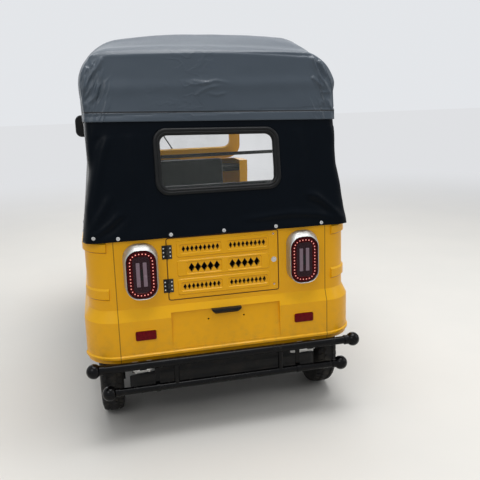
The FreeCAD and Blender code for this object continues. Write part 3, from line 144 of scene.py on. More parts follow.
def closeMaterial(place, **sockets):
    # a Principled shader with these sockets, linked to the output; spaces in names are given as _
    inputs = {key.replace("_", " "): value for key, value in sockets.items()}
    shader = place.make("BsdfPrincipled", None, inputs)
    linkOutput(place, shader)
    return place.material


def linkOutput(place, shader):
    output = place.tree.nodes.new("ShaderNodeOutputMaterial")
    place.tree.links.new(shader.socket, output.inputs["Surface"])


def yellowPaint():
    place = newMaterial("yellowPaint")
    x, y, z = place.axes()
    drift = place.noise(2.2, 3.0)
    dust = place.noise(26.0, 5.0, 0.65)
    low = 1 - z.sharpen(0.36, 0.60)
    grime = (low * 0.55 + 0.12) * dust.sharpen(0.42, 0.75)
    clean = drift.tint((0.79, 0.368, 0.0006), (0.86, 0.418, 0.0012))
    # painted highlight on upward-facing slopes, and painted shade on downward-facing ones
    slope = place.make("TexCoord", None, None, 1).axes()[2]
    slopeLitColour = (slope.sharpen(0.12, 0.65) * 0.5).tint(clean, (0.98, 0.56, 0.015))
    slopeLitColour = ((1 - slope.sharpen(-0.70, -0.10)) * 0.6).tint(slopeLitColour, (0.30, 0.11, 0.001))
    colour = (grime * 0.5).tint(slopeLitColour, (0.40, 0.24, 0.05))
    # sealer in the joint of the rear and corner panels
    joint = (1 - (x.absolute() - 0.506).absolute().sharpen(0.0014, 0.0030)) * (y < -1.0)
    colour = (joint * 0.6).tint(colour, (0.10, 0.034, 0.002))
    peel = place.noise(140.0, 1.5).bump(0.00025, 0.25)
    waves = place.noise(5.0, 1.0).bump(0.004, 0.35, peel)
    return closeMaterial(place, Base_Color=colour, Roughness=0.34 + grime * 0.35 + dust * 0.06, Normal=waves,
                         Coat_Weight=0.16 - grime * 0.1, Coat_Roughness=0.06, Specular_IOR_Level=0.18)


def blackGloss():
    place = newMaterial("blackGloss")
    dust = place.noise(30.0, 5.0, 0.6).sharpen(0.5, 0.8)
    colour = dust.tint((0.002, 0.002, 0.0025), (0.010, 0.0095, 0.009))
    peel = place.noise(120.0, 1.5).bump(0.0003, 0.3)
    return closeMaterial(place, Base_Color=colour, Roughness=0.16 + dust * 0.25, Normal=peel,
                         Specular_IOR_Level=0.14)


def blackPaint():
    place = newMaterial("blackPaint")
    dust = place.noise(14.0, 6.0, 0.62).sharpen(0.42, 0.78)
    speck = place.noise(180.0, 2.0)
    colour = (dust * 0.8).tint((0.005, 0.005, 0.0055), (0.030, 0.027, 0.023))
    return closeMaterial(place, Base_Color=colour, Roughness=0.42 + dust * 0.3 + speck * 0.08,
                         Normal=speck.bump(0.0004, 0.3), Specular_IOR_Level=0.22)


def coatedCloth(name, dark, light, roughness, wrinkle, shine=0.2):
    # coated awning sheet: leather grain, soft creases and faint fading
    place = newMaterial(name)
    fade = place.noise(1.6, 4.0, 0.55)
    ridge = place.noise(7.0, 2.0, 0.5, (1.0, 1.0, 0.45)).creased(9.0)
    grain = place.cells(900.0)
    rub = place.noise(34.0, 4.0, 0.7).sharpen(0.55, 0.85)
    colour = (fade * 0.8 + rub * 0.25).tint(dark, light)
    fine = grain.bump(0.0002, 0.5)
    folds = ridge.sharpen(0.2, 1.0).bump(0.002, wrinkle, fine)
    return closeMaterial(place, Base_Color=colour, Roughness=roughness + rub * 0.12, Normal=folds,
                         Specular_IOR_Level=shine)


def plainPlastic(name, colour, light, roughness):
    place = newMaterial(name)
    grain = place.cells(1400.0)
    wear = place.noise(40.0, 4.0, 0.6).sharpen(0.5, 0.85)
    return closeMaterial(place, Base_Color=wear.tint(colour, light), Specular_IOR_Level=0.22,
                         Roughness=roughness + wear * 0.12, Normal=grain.bump(0.0001, 0.35))


def brightMetal(name, colour, roughness, dustiness=0.3):
    place = newMaterial(name)
    haze = place.noise(50.0, 4.0, 0.6).sharpen(0.45, 0.8)
    fine = place.noise(400.0, 2.0)
    return closeMaterial(place, Base_Color=(haze * dustiness).tint(colour, (0.28, 0.25, 0.21)),
                         Metallic=1 - haze * dustiness, Roughness=roughness + haze * 0.2 + fine * 0.05,
                         Normal=fine.bump(0.0002, 0.2))


def hatchHardware():
    # the leaves on the left are painted black, the lock on the right is bright
    place = newMaterial("hatchHardware")
    lock = place.axes()[0] > 0
    scratch = place.noise(90.0, 4.0).sharpen(0.5, 0.75)
    black = scratch.tint((0.006, 0.006, 0.006), (0.02, 0.02, 0.02))
    return closeMaterial(place, Base_Color=lock.tint(black, (0.62, 0.62, 0.61)),
                         Metallic=lock * 0.95, Roughness=0.34 - lock * 0.1 + scratch * 0.12,
                         Normal=scratch.bump(0.0002, 0.2))


def springSteel():
    place = newMaterial("springSteel")
    rust = place.noise(22.0, 6.0, 0.65).sharpen(0.5, 0.72)
    shackle = place.axes()[1] < -1.198      # plated links behind the springs
    colour = rust.tint((0.05, 0.05, 0.052), (0.10, 0.055, 0.03))
    colour = (shackle * (1 - rust * 0.6)).tint(colour, (0.66, 0.66, 0.64))
    return closeMaterial(place, Base_Color=colour, Metallic=0.7 - rust * 0.6,
                         Roughness=0.45 - shackle * 0.12 + rust * 0.35,
                         Normal=place.noise(160.0, 4.0).bump(0.0006, 0.4))


def tyreRubber():
    place = newMaterial("tyreRubber")
    dust = place.noise(18.0, 6.0, 0.65).sharpen(0.4, 0.75)
    colour = dust.tint((0.006, 0.006, 0.0065), (0.040, 0.036, 0.030))
    return closeMaterial(place, Base_Color=colour, Roughness=0.72 + dust * 0.15,
                         Specular_IOR_Level=0.25, Normal=place.noise(300.0, 3.0).bump(0.0004, 0.4))


def windowGlass():
    place = newMaterial("windowGlass")
    haze = place.noise(6.0, 4.0).sharpen(0.4, 0.8)
    return closeMaterial(place, Base_Color=(0.30, 0.33, 0.32), Roughness=0.03 + haze * 0.05,
                         Alpha=0.06 + haze * 0.05)


def lensPlastic(name, colour, dark, roughness=0.08, emission=0.0, coat=0.0):
    place = newMaterial(name)
    ribs = place.cells(260.0)
    shade = ribs.sharpen(0.1, 0.7)
    return closeMaterial(place, Base_Color=shade.tint(colour, dark),
                         Roughness=roughness + shade * 0.05, Normal=ribs.bump(0.0006, 0.35), Coat_Weight=coat,
                         Specular_IOR_Level=0.08, Emission_Color=colour, Emission_Strength=emission)


def roofCloth():
    # coated awning sheet, sewn above its hem, creased where it turns the rear corners
    place = newMaterial("roofCloth")
    x, y, z = place.axes()
    fade = place.noise(1.6, 4.0, 0.55)
    rub = place.noise(34.0, 4.0, 0.7).sharpen(0.55, 0.85)
    # height over the sewn seam, which follows the hem and tilts with the rear bow
    behind = 1 - y.sharpen(-1.08, -0.88)
    off = (z + x * behind * 0.026 - y.sharpen(-0.603, -0.513) * 0.131 - 1.5125).absolute()
    below = 1 - z.sharpen(1.70, 1.72)
    seam = (1 - off.sharpen(0.0018, 0.0045)) * below
    run = (x + y) * 1100.0
    stitch = (run.calc("SINE", run) > -0.2) * (1 - (off - 0.0062).absolute().sharpen(0.0005, 0.0012)) * below
    # long creases that run down and out round the rear corners
    wide = x.absolute()
    across, along = wide * 0.93 + z * 0.37, z * 0.93 - wide * 0.37
    slant = place.make("CombineXYZ", None, {0: across * 17.0, 1: along * 4.5, 2: x * 3.0 + y * 7.0})
    ridge = slant.noise(1.0, 2.0, 0.55).creased(11.0).sharpen(0.0, 1.0)
    corner = wide.sharpen(0.44, 0.54) * (1 - y.sharpen(-1.05, -0.85)) * (1 - z.sharpen(1.70, 1.78))
    wrinkle = place.noise(9.0, 2.0, 0.5, (1.0, 1.0, 1.6)).creased(14.0).sharpen(0.0, 1.0)
    patch = place.noise(2.6, 1.0).sharpen(0.52, 0.66) * (1 - corner)
    colour = (fade * 0.8 + rub * 0.25).tint((0.038, 0.053, 0.072), (0.055, 0.074, 0.096))
    colour = (seam * 0.9).tint(colour, (0.002, 0.003, 0.005))
    colour = (stitch * 0.6).tint(colour, (0.09, 0.11, 0.13))
    fine = place.cells(900.0).bump(0.0002, 0.5)
    sewn = (1 - seam).bump(0.0022, 0.9, fine)
    folds = (ridge * corner).bump(0.0065, 0.7, sewn)
    normal = (wrinkle * patch).bump(0.0016, 0.5, folds)
    return closeMaterial(place, Base_Color=colour, Roughness=0.42 + rub * 0.12, Normal=normal,
                         Specular_IOR_Level=0.42)


# the paints of the CAD's material slots go by the slot's name
paint = {
    "yellow_paint": yellowPaint(),
    "gloss": blackGloss(),
    "black_paint": blackPaint(),
    "canopy_sheet": roofCloth(),
    "curtain": coatedCloth("curtainCloth", (0.001, 0.0026, 0.005), (0.0026, 0.0046, 0.008), 0.34, 0.25, 0.06),
    "seat_cover": coatedCloth("seatCloth", (0.005, 0.005, 0.0055), (0.011, 0.011, 0.012), 0.40, 0.35, 0.25),
    "piping": plainPlastic("palePiping", (0.55, 0.54, 0.52), (0.38, 0.37, 0.35), 0.45),
    "black_rubber": plainPlastic("blackRubber", (0.004, 0.0045, 0.005), (0.011, 0.0115, 0.0125), 0.40),
    "black_plastic": plainPlastic("blackPlastic", (0.005, 0.005, 0.0055), (0.014, 0.014, 0.0145), 0.46),
    "lamp_bezel": brightMetal("satinBezel", (0.50, 0.50, 0.48), 0.44, 0.15),
    "zinc": brightMetal("zincScrew", (0.72, 0.72, 0.71), 0.25, 0.15),
    "mirror": brightMetal("mirrorSilver", (0.80, 0.82, 0.83), 0.02, 0.04),
    "stud": plainPlastic("studCap", (0.62, 0.63, 0.64), (0.50, 0.50, 0.50), 0.30),
    "steel": springSteel(),
    "hardware": hatchHardware(),
    "rim": brightMetal("paintedRim", (0.42, 0.42, 0.43), 0.35, 0.45),
    "tyre": tyreRubber(),
    "window_glass": windowGlass(),
    "red_reflector": lensPlastic("redLens", (0.11, 0.003, 0.005), (0.030, 0.001, 0.002)),
    "lamp_lens": lensPlastic("smokeLens", (0.050, 0.026, 0.032), (0.026, 0.012, 0.016), 0.1),
    "clear_lens": lensPlastic("clearLens", (0.62, 0.66, 0.68), (0.42, 0.46, 0.48), coat=0.6),
    "mauveBar": plainPlastic("mauveBar", (0.22, 0.155, 0.19), (0.30, 0.23, 0.27), 0.25),
    "led": lensPlastic("ledPink", (0.95, 0.36, 0.30), (0.85, 0.18, 0.16), 0.1, 0.6),
    "brownScrew": plainPlastic("brownScrew", (0.26, 0.085, 0.008), (0.36, 0.14, 0.02), 0.4),
    "trim": plainPlastic("brownTrim", (0.040, 0.012, 0.004), (0.06, 0.022, 0.008), 0.5),
    "prismRed": lensPlastic("prismRed", (0.20, 0.004, 0.009), (0.10, 0.002, 0.005), 0.12),
    "amber_lens": lensPlastic("amberLens", (0.75, 0.20, 0.01), (0.45, 0.10, 0.006)),
}

for part in frame["record"]["subparts"]:
    mesh = nodes[part["node"]].data
    mesh.materials.clear()
    mesh.materials.append(paint[part["material_slot"]])
nodes["rear_bumper"].data.materials[0] = paint["gloss"]
nodes["hatch_hardware"].data.materials[0] = paint["hardware"]
for name in ("front_rim", "rear_rim_left", "rear_rim_right"):
    nodes[name].data.materials[0] = paint["rim"]
print("materials done")

# Studio and camera

studio = {"floor": (0.70, 0.68, 0.64), "floorCloud": (0.64, 0.63, 0.60), "haze": (0.74, 0.75, 0.77),
          "horizon": (3.0, 9.0), "floorSize": 80.0, "world": 0.36, "backdrop": 0.88}
view = {"place": (-0.529, -3.927, 1.582), "yaw": 12.88, "pitch": 11.08, "roll": -1.78, "lens": 45.0,
        "shiftY": -0.05625}


def buildStudio():
    bm = bmesh.new()
    bmesh.ops.create_grid(bm, x_segments=1, y_segments=1, size=studio["floorSize"] / 2)
    mesh = bpy.data.meshes.new("studioFloor")
    bm.to_mesh(mesh)
    floor = newObject("studioFloor", mesh)
    place = newMaterial("paleFloor")
    cloud = place.noise(1.5, 4.0)
    ground = cloud.tint(studio["floor"], studio["floorCloud"])
    near = place.make("BsdfPrincipled", None, {"Base Color": ground, "Roughness": 0.8})
    # far off, the camera sees an even haze instead of unlit floor
    far = place.make("VectorMath", {"operation": "LENGTH"}, {0: place}, 1).sharpen(*studio["horizon"])
    glow = place.make("Emission", None, {"Color": studio["haze"], "Strength": 1.0})
    direct = Wire(place.tree, place.tree.nodes.new("ShaderNodeLightPath").outputs["Is Camera Ray"])
    linkOutput(place, place.make("MixShader", None, {0: far * direct, 1: near, 2: glow}))
    mesh.materials.append(place.material)
    world = bpy.data.worlds.new("studioSky")
    bpy.context.scene.world = world
    world.use_nodes = True
    world.node_tree.nodes.clear()
    tree = world.node_tree
    path = tree.nodes.new("ShaderNodeLightPath")
    seen = Wire(tree, path.outputs["Is Camera Ray"])
    for kind in ("Is Transmission Ray", "Is Glossy Ray"):
        seen = seen.calc("MAXIMUM", seen, Wire(tree, path.outputs[kind]))
    strength = seen * (studio["backdrop"] - studio["world"]) + studio["world"]
    sky = seen.make("Background", None, {"Color": (0.88, 0.90, 0.93), "Strength": strength})
    output = tree.nodes.new("ShaderNodeOutputWorld")
    tree.links.new(sky.socket, output.inputs["Surface"])
    # columns: name, place, aim, size, watts
    lamps = [("keyLamp", (-3.0, -5.0, 5.0), (0, -0.6, 0.9), 2.5, 80.0),
             ("skyLamp", (0.5, -0.5, 7.0), (0, 0, 1.0), 5.0, 470.0),
             ("sideLamp", (5.0, -2.5, 3.5), (0, 0, 0.8), 3.0, 40.0),
             ("horizonLamp", (0.5, 8.0, 3.2), (0, 0, 1.8), 10.0, 260.0)]
    for name, place, aim, size, watts in lamps:
        light = bpy.data.lights.new(name, "AREA")
        light.size, light.energy = size, watts
        lamp = newObject(name, light)
        lamp.location = place
        lamp.rotation_euler = (Vector(aim) - Vector(place)).to_track_quat("-Z", "Y").to_euler()
        lamp.visible_camera = False


def buildCamera():
    yaw, pitch, roll = (math.radians(view[k]) for k in ("yaw", "pitch", "roll"))
    ahead = Vector((math.sin(yaw) * math.cos(pitch), math.cos(yaw) * math.cos(pitch), -math.sin(pitch)))
    right = Vector((math.cos(yaw), -math.sin(yaw), 0))
    up = right.cross(ahead)
    tiltedRight = right * math.cos(roll) + up * math.sin(roll)
    tiltedUp = up * math.cos(roll) - right * math.sin(roll)
    data = bpy.data.cameras.new("photoCamera")
    data.lens, data.sensor_width, data.shift_y = view["lens"], 36.0, view["shiftY"]
    camera = newObject("photoCamera", data)
    turn = Matrix((tiltedRight, tiltedUp, -ahead)).transposed().to_4x4()
    camera.matrix_world = Matrix.Translation(view["place"]) @ turn
    bpy.context.scene.camera = camera


buildStudio()
buildCamera()
bpy.context.scene.view_settings.view_transform = "Standard"
print("studio done")

# Making pieces


def addPiece(name, bm, body, slotName, sharpAngle, finishes=None, outward=True):
    # turns a bmesh into a piece that rides on a body; its finish is the slot's own, or those that are named
    if outward:
        bmesh.ops.recalc_face_normals(bm, faces=bm.faces)
    mesh = bpy.data.meshes.new(name)
    bm.to_mesh(mesh)
    bm.free()
    for finish in finishes or [slotName]:
        mesh.materials.append(paint[finish])
    mesh.shade_smooth()
    if sharpAngle:
        mesh.set_sharp_from_angle(angle=math.radians(sharpAngle))
    piece = newObject(name, mesh)
    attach(piece, body)
    return piece


def clamp(value, low, high):
    return max(low, min(high, value))


def smoothStep(value, low, high):
    t = clamp((value - low) / (high - low), 0.0, 1.0)
    return t * t * (3 - 2 * t)


def roundRing(bm, cx, cz, w, h, r, y, arc):
    # one ring of a rounded rectangle facing the rear, all corners with the same number of points
    verts = bmesh.ops.create_circle(bm, cap_ends=False, segments=4 * (arc + 1), radius=1.0)["verts"]
    r = min(r, w / 2 - 1e-5, h / 2 - 1e-5)
    for i, v in enumerate(verts):
        corner, step = divmod(i, arc + 1)
        angle = math.pi / 2 * (corner + step / arc)
        sx, sz = ((1, 1), (-1, 1), (-1, -1), (1, -1))[corner]
        v.co = (cx + sx * (w / 2 - r) + r * math.cos(angle), y, cz + sz * (h / 2 - r) + r * math.sin(angle))
    return verts


def finishNewFaces(bm, count, finish):
    # the faces made since the mesh had count of them
    bm.faces.ensure_lookup_table()
    for f in bm.faces[count:]:
        f.material_index = finish


def ringEdges(verts):
    inside = set(verts)
    return list({e for v in verts for e in v.link_edges if e.other_vert(v) in inside})


def loftRings(bm, rings, closed=False, finish=0):
    # joins rings in turn, point to point; closed joins the last to the first, else both ends are filled
    count = len(bm.faces)
    for a, b in zip(rings, rings[1:] + (rings[:1] if closed else [])):
        for i, v in enumerate(a):
            j = (i + 1) % len(a)
            bm.faces.new((v, a[j], b[j], b[i]))
    if not closed:
        for ring in (rings[0], rings[-1]):
            bmesh.ops.edgeloop_fill(bm, edges=ringEdges(ring))
    finishNewFaces(bm, count, finish)


def roundRectPlaces(w, h, r, count, start=0.0):
    # evenly spaced places round a rounded rectangle
    sides = [("x", w - 2 * r), ("a", math.pi / 2 * r), ("z", h - 2 * r), ("a", math.pi / 2 * r)] * 2
    total = sum(s[1] for s in sides)
    places = []
    for i in range(count):
        run = (i / count + start) % 1.0 * total
        x, z, angle = -w / 2 + r, -h / 2, 0.0
        for kind, length in sides:
            part = min(run, length)
            if kind == "a":
                turn = part / r
                cx, cz = x - r * math.sin(angle), z + r * math.cos(angle)
                angle += turn
                x, z = cx + r * math.sin(angle), cz - r * math.cos(angle)
            else:
                x, z = x + part * math.cos(angle), z + part * math.sin(angle)
            run -= part
            if run <= 0:
                break
        places.append((x, z))
    return places


def bakedMesh(holder):
    return bpy.data.meshes.new_from_object(holder.evaluated_get(bpy.context.evaluated_depsgraph_get()))


def vertsOf(geom):
    return [g for g in geom if isinstance(g, bmesh.types.BMVert)]


def edgesOf(geom):
    return [g for g in geom if isinstance(g, bmesh.types.BMEdge)]


def closedTube(name, points, radius):
    # a smooth round tube through the points and back to the first
    curve = bpy.data.curves.new(name, "CURVE")
    curve.dimensions, curve.bevel_depth, curve.bevel_resolution = "3D", radius, 3
    curve.use_fill_caps, curve.resolution_u = True, 3
    spline = curve.splines.new("NURBS")
    spline.points.add(len(points) - 1)
    for p, co in zip(spline.points, points):
        p.co = (*co, 1.0)
    spline.order_u = 3
    spline.use_cyclic_u, spline.use_endpoint_u = True, False
    holder = newObject(name + "Line", curve)
    mesh = bakedMesh(holder)
    bpy.data.objects.remove(holder)
    bm = bmesh.new()
    bm.from_mesh(mesh)
    bmesh.ops.remove_doubles(bm, verts=bm.verts, dist=1e-6)
    return bm


def screwHeads(bm, places, normal, radius, height, finishIndex=0):
    # pan-head screws: a tapered disc with a round recess
    turn = zAxis.rotation_difference(normal).to_matrix().to_4x4()
    for place in places:
        matrix = Matrix.Translation(place) @ turn
        made = bmesh.ops.create_cone(bm, cap_ends=True, segments=16, radius1=radius, radius2=radius * 0.86,
                                     depth=height, matrix=matrix @ Matrix.Translation((0, 0, height / 2)))
        top = [f for v in made["verts"] for f in v.link_faces if f.normal.dot(normal) > 0.9]
        bmesh.ops.inset_region(bm, faces=list(set(top)), thickness=radius * 0.35, depth=0)
        caps = [f for f in set(top) if f.is_valid]
        bmesh.ops.inset_region(bm, faces=caps, thickness=radius * 0.12, depth=-height * 0.4)
        for f in set(f for v in made["verts"] for f in v.link_faces):
            f.material_index = finishIndex


# Canopy: roof cover with its skirt, and the rear curtain below it

canopy = {
    "coreX": 0.36, "coreY": -0.90, "coreZ": 1.48,      # inner block that the sheet is wrapped round
    "front": 0.757, "quarterFront": -0.563, "valance": 1.602,
    "skirtSeam": 1.512, "skirtHem": 1.4712, "curtainHem": 0.953, "curtainTop": 1.500,
    "bows": (-0.84, -0.10, 0.55), "crest": (-1.113, 1.768), "crestArch": 0.006, "crestHeight": 0.007,
    "coverLift": 0.0012, "curtainLift": 0.0005, "sheet": 0.0025, "underSkirt": 1.466, "askew": 0.026,
    "footY": -1.250, "footZ": 0.955, "slope": 0.15403, # the rear face's lower edge, and how it leans forward
    "boxTop": 2.0, "boxHalf": 0.70, "boxRear": -1.30,  # flat box from which the cover is wrapped
    "roundHalf": 0.65, "roundRear": -1.20,             # the same for the curtain
    "window": (0.278, 1.165, 1.427),                   # half width, lower and upper edge of its cut-out
}


def inMetres(folds):
    # from millimetres; columns: height and width of the fold, then its places across the rear and up
    return [(height * 0.001, width * 0.001, [Vector(p) * 0.001 for p in points])
            for height, width, points in folds]


coverFolds = inMetres([
    (8.5, 8.5, [(-490, 1770), (-497, 1756), (-518, 1723), (-539, 1697), (-558, 1676), (-572, 1638),
                (-582, 1600), (-585, 1562)]),
    (7.5, 8, [(-508, 1710), (-509, 1691), (-513, 1665), (-523, 1632), (-529, 1605), (-548, 1584),
              (-573, 1561), (-581, 1549)]),
    (-6, 8.5, [(-500, 1690), (-499, 1650), (-508, 1615), (-522, 1588), (-545, 1565)]),
    (6, 7, [(-530, 1740), (-534, 1728), (-540, 1709), (-549, 1690)]),
    (6, 7.5, [(-558, 1730), (-562, 1714), (-575, 1666), (-587, 1628)]),
    (5.5, 7, [(-562, 1566), (-570, 1540), (-580, 1520)]),
    (9, 8.5, [(486, 1762), (491, 1745), (503, 1708), (520, 1666), (540, 1629), (563, 1586)]),
    (-6, 8.5, [(503, 1745), (516, 1708), (533, 1668), (552, 1632)]),
    (7, 7.5, [(478, 1662), (488, 1651), (515, 1624), (547, 1597)]),
    (6.5, 7.5, [(520, 1740), (526, 1723), (546, 1686), (564, 1649)]),
    (4.5, 6.5, [(515, 1586), (529, 1585), (560, 1584)]),
    (5, 7.5, [(545, 1560), (560, 1530), (575, 1500)]),
    (3.5, 6, [(-150, 1662), (-95, 1636), (-45, 1640), (10, 1652), (70, 1640)]),
    (3, 6, [(-110, 1655), (-60, 1648), (-10, 1640)]),
    (3.2, 6, [(-100, 1580), (-60, 1606), (-20, 1622), (30, 1628)]),
    (2.8, 6, [(-40, 1600), (10, 1586), (60, 1596)]),
])
curtainFolds = inMetres([
    (10, 20, [(-470, 1480), (-520, 1360), (-553, 1240), (-590, 1110), (-605, 1000)]),
    (-7, 20, [(-510, 1480), (-560, 1350), (-590, 1240)]),
    (9, 13, [(-490, 1180), (-530, 1110), (-575, 1040), (-600, 985)]),
    (8, 12, [(-450, 1095), (-500, 1040), (-563, 995), (-603, 979)]),
    (-6, 13, [(-430, 1070), (-500, 1010), (-570, 975)]),
    (11, 14, [(410, 1120), (470, 1095), (535, 1035), (592, 985)]),
    (-8, 14, [(420, 1085), (490, 1055), (550, 1005)]),
    (8, 13, [(50, 1008), (200, 1016), (340, 1024), (460, 1012), (590, 980)]),
    (-5, 12, [(150, 990), (300, 998), (450, 988)]),
    (6, 22, [(560, 1480), (590, 1330), (580, 1200), (600, 1060)]),
    (4, 20, [(380, 1480), (400, 1300), (380, 1150)]),
    (4, 18, [(-390, 1470), (-395, 1330), (-370, 1140)]),
])
studs = {
    "rear": (-0.607, -0.481, -0.243, 0.005, 0.257, 0.486, 0.597), "sides": (-1.0, -0.78, -0.60), "z": 0.967,
    # the two at the corners: where a ray starts, and its way
    "corners": (((-0.588, -2.0, 0.977), (0, 1, 0)), ((1.1, -1.75, 0.979), (-0.62, 0.78, 0))),
    # a stud's cap and its rivet: lower and upper radius, height, how far out its middle is
    "cap": (0.0090, 0.0076, 0.0030, 0.0014), "rivet": (0.0036, 0.0030, 0.0016, 0.0034),
}

shellMesh = bmesh.new()
shellMesh.from_mesh(nodes["canopy"].data)
shellTree = BVHTree.FromBMesh(shellMesh)


def wrapPoint(box):
    # the outer face of the canopy solid, met by a ray from outside toward an inner block
    half, lowest = canopy["coreX"], canopy["footZ"] + 0.003
    core = Vector((clamp(box.x, -half, half), max(box.y, canopy["coreY"]), min(box.z, canopy["coreZ"])))
    way = (box - core).normalized()
    z = max(box.z, lowest)
    core.z = z if box.z < canopy["coreZ"] else core.z
    place = shellTree.ray_cast(core + way * 1.6, -way, 1.6)[0]
    if place is None and box.y > -0.95:
        place = shellTree.find_nearest(core + way * 0.3)[0]
    elif place is None:      # over the window the solid is cut, and the face is flat
        place = Vector((box.x, canopy["footY"] + (z - canopy["footZ"]) * canopy["slope"], z))
    if box.z < lowest:
        place.z = box.z
    return place


def lean(place):
    # the rear bow sits a little askew, higher on the left than on the right
    share = smoothStep(place.z, 1.10, 1.46) * (1 - smoothStep(place.y, -1.08, -0.88))
    return place - zAxis * (canopy["askew"] * place.x * share)


def foldLift(place, folds):
    # how far the folds near a place lift the sheet; they live on the rear face and its corners
    lift = 0.0
    if place.y > -0.95:
        return 0.0
    behind = place.y - canopy["footY"] - canopy["slope"] * (place.z - canopy["footZ"])
    depth = max(0.0, behind)      # how far in front of the rear face's plane, round the corner
    here = Vector((place.x - 0.36 * depth * smoothStep(place.x, 0.0, 0.4), place.z))
    for height, width, points in folds:
        best, share = 1e9, 0.0
        for i, (a, b) in enumerate(zip(points, points[1:])):
            along = clamp((here - a).dot(b - a) / (b - a).length_squared, 0.0, 1.0)
            d = (here - a - (b - a) * along).length
            if d < best:
                best, share = d, (i + along) / (len(points) - 1)
        if best < width * 3:
            taper = smoothStep(share, 0.0, 0.25) * (1 - 0.7 * smoothStep(share, 0.75, 1.0))
            lift += height * math.exp(-(best / width) ** 2) * taper
    return lift * (1 - smoothStep(depth, 0.07, 0.16))


def hemHeight(y):
    # lower edge of the roof cover: at the skirt hem behind the doors, at the valance over them
    share = smoothStep(y, canopy["quarterFront"] - 0.04, canopy["quarterFront"] + 0.05)
    return canopy["skirtHem"] + (canopy["valance"] - canopy["skirtHem"]) * share


def relaxInner(bm, rounds):
    inner = [v for v in bm.verts if not v.is_boundary]
    for _ in range(rounds):
        bmesh.ops.smooth_vert(bm, verts=inner, factor=0.5, use_axis_x=True, use_axis_y=True, use_axis_z=True)


def coverLift(place):
    lift = canopy["coverLift"] + foldLift(place, coverFolds)
    lift += 0.0035 * noise.noise(place * 4.0) + 0.0012 * noise.noise(place * 14.0)
    # the sheet sags a little between its bows and rides up over them
    if place.z > 1.70 and place.y > -1.12:
        near = min(abs(place.y - b) for b in canopy["bows"])
        behind = smoothStep(place.y, -1.10, -1.00)
        lift += 0.006 * math.exp(-(near / 0.030) ** 2) - 0.006 * behind * smoothStep(near, 0.05, 0.22)
    # pulled tight over the rear bow
    crestY, crestZ = canopy["crest"]
    crestZ += canopy["crestArch"] * (1 - (place.x / 0.5) ** 2)
    lift += canopy["crestHeight"] * math.exp(-(math.hypot(place.y - crestY, place.z - crestZ) / 0.009) ** 2)
    if place.y < -0.95 or abs(place.x) > 0.5:
        kink = (place.z - 1.632) / 0.030
        lift += 0.004 * math.exp(-kink * kink)
        hem = hemHeight(place.y)
        if place.z < hem + 0.044 and place.z > hem + 0.038:
            lift -= 0.0018      # the seam is sewn down
        if place.z < hem + 0.030:
            lift += 0.0022 * (1 + 0.6 * noise.noise(Vector((place.x * 9, place.y * 9, 0))))
    return lift


def liftSheet(bm, liftAt):
    # moves every point of a sheet out along its normal
    lifts = [(v, v.normal * liftAt(v.co)) for v in bm.verts]
    for v, lift in lifts:
        v.co += lift


def clothThickness(piece):
    thick = piece.modifiers.new("cloth", "SOLIDIFY")
    thick.thickness, thick.offset = canopy["sheet"], -1.0


def buildRoofCover():
    top, half, rear, front = (canopy[k] for k in ("boxTop", "boxHalf", "boxRear", "front"))
    bm = bmesh.new()
    bmesh.ops.create_grid(bm, x_segments=190, y_segments=96, size=0.5)
    for v in bm.verts:      # finer rows toward the rear
        v.co = (v.co.x * 2 * half, rear + (v.co.y + 0.5) ** 1.5 * (front - rear), top)
    rim = [e for e in bm.edges if e.is_boundary and not all(v.co.y > front - 1e-4 for v in e.verts)]
    # drops below the top edge of the wrapped box: even steps to the seam, then close rows round seam and hem
    seam, hem = canopy["skirtSeam"], canopy["skirtHem"]
    rows = [top - 0.0085 * (i + 1) for i in range(57)]
    rows = [z for z in rows if z > seam + 0.006] + [seam + 0.003, seam, seam - 0.003] \
        + [seam - 0.003 - (seam - hem - 0.006) * k / 3 for k in (1, 2)] + [hem + 0.003, hem]
    for z in rows:
        made = bmesh.ops.extrude_edge_only(bm, edges=rim)["geom"]
        for v in vertsOf(made):
            v.co.z = z
        rim = [e for e in edgesOf(made) if all(abs(v.co.z - z) < 1e-6 for v in e.verts)]
    for v in bm.verts:
        place = v.co.copy()
        if place.z < top:      # rows close up where the hem is higher
            share = (top - place.z) / (top - hem)
            place.z = top - share * (top - hemHeight(place.y))
        v.co = wrapPoint(place)
    relaxInner(bm, 2)
    for v in bm.verts:
        v.co = lean(v.co)
    bm.normal_update()
    bmesh.ops.recalc_face_normals(bm, faces=bm.faces)
    if sum(f.normal.z for f in bm.faces if f.calc_center_median().z > 1.85) < 0:
        bmesh.ops.reverse_faces(bm, faces=bm.faces)
    bm.normal_update()
    liftSheet(bm, coverLift)
    piece = addPiece("roofCover", bm, "chassis", "canopy_sheet", 0, outward=False)
    clothThickness(piece)
    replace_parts(piece, "canopy")


def curtainLift(place):
    lift = canopy["curtainLift"] + foldLift(place, curtainFolds)
    lift += 0.0030 * noise.noise(place * 3.5 + Vector((5, 0, 0))) + 0.0010 * noise.noise(place * 12.0)
    low = 1 - smoothStep(place.z, 0.955, 1.03)
    nearest = min(abs(place.x - s) for s in studs["rear"])
    lift += low * 0.004 * smoothStep(nearest, 0.0, 0.12)
    if place.z > 1.42:
        lift *= 0.4
    return lift


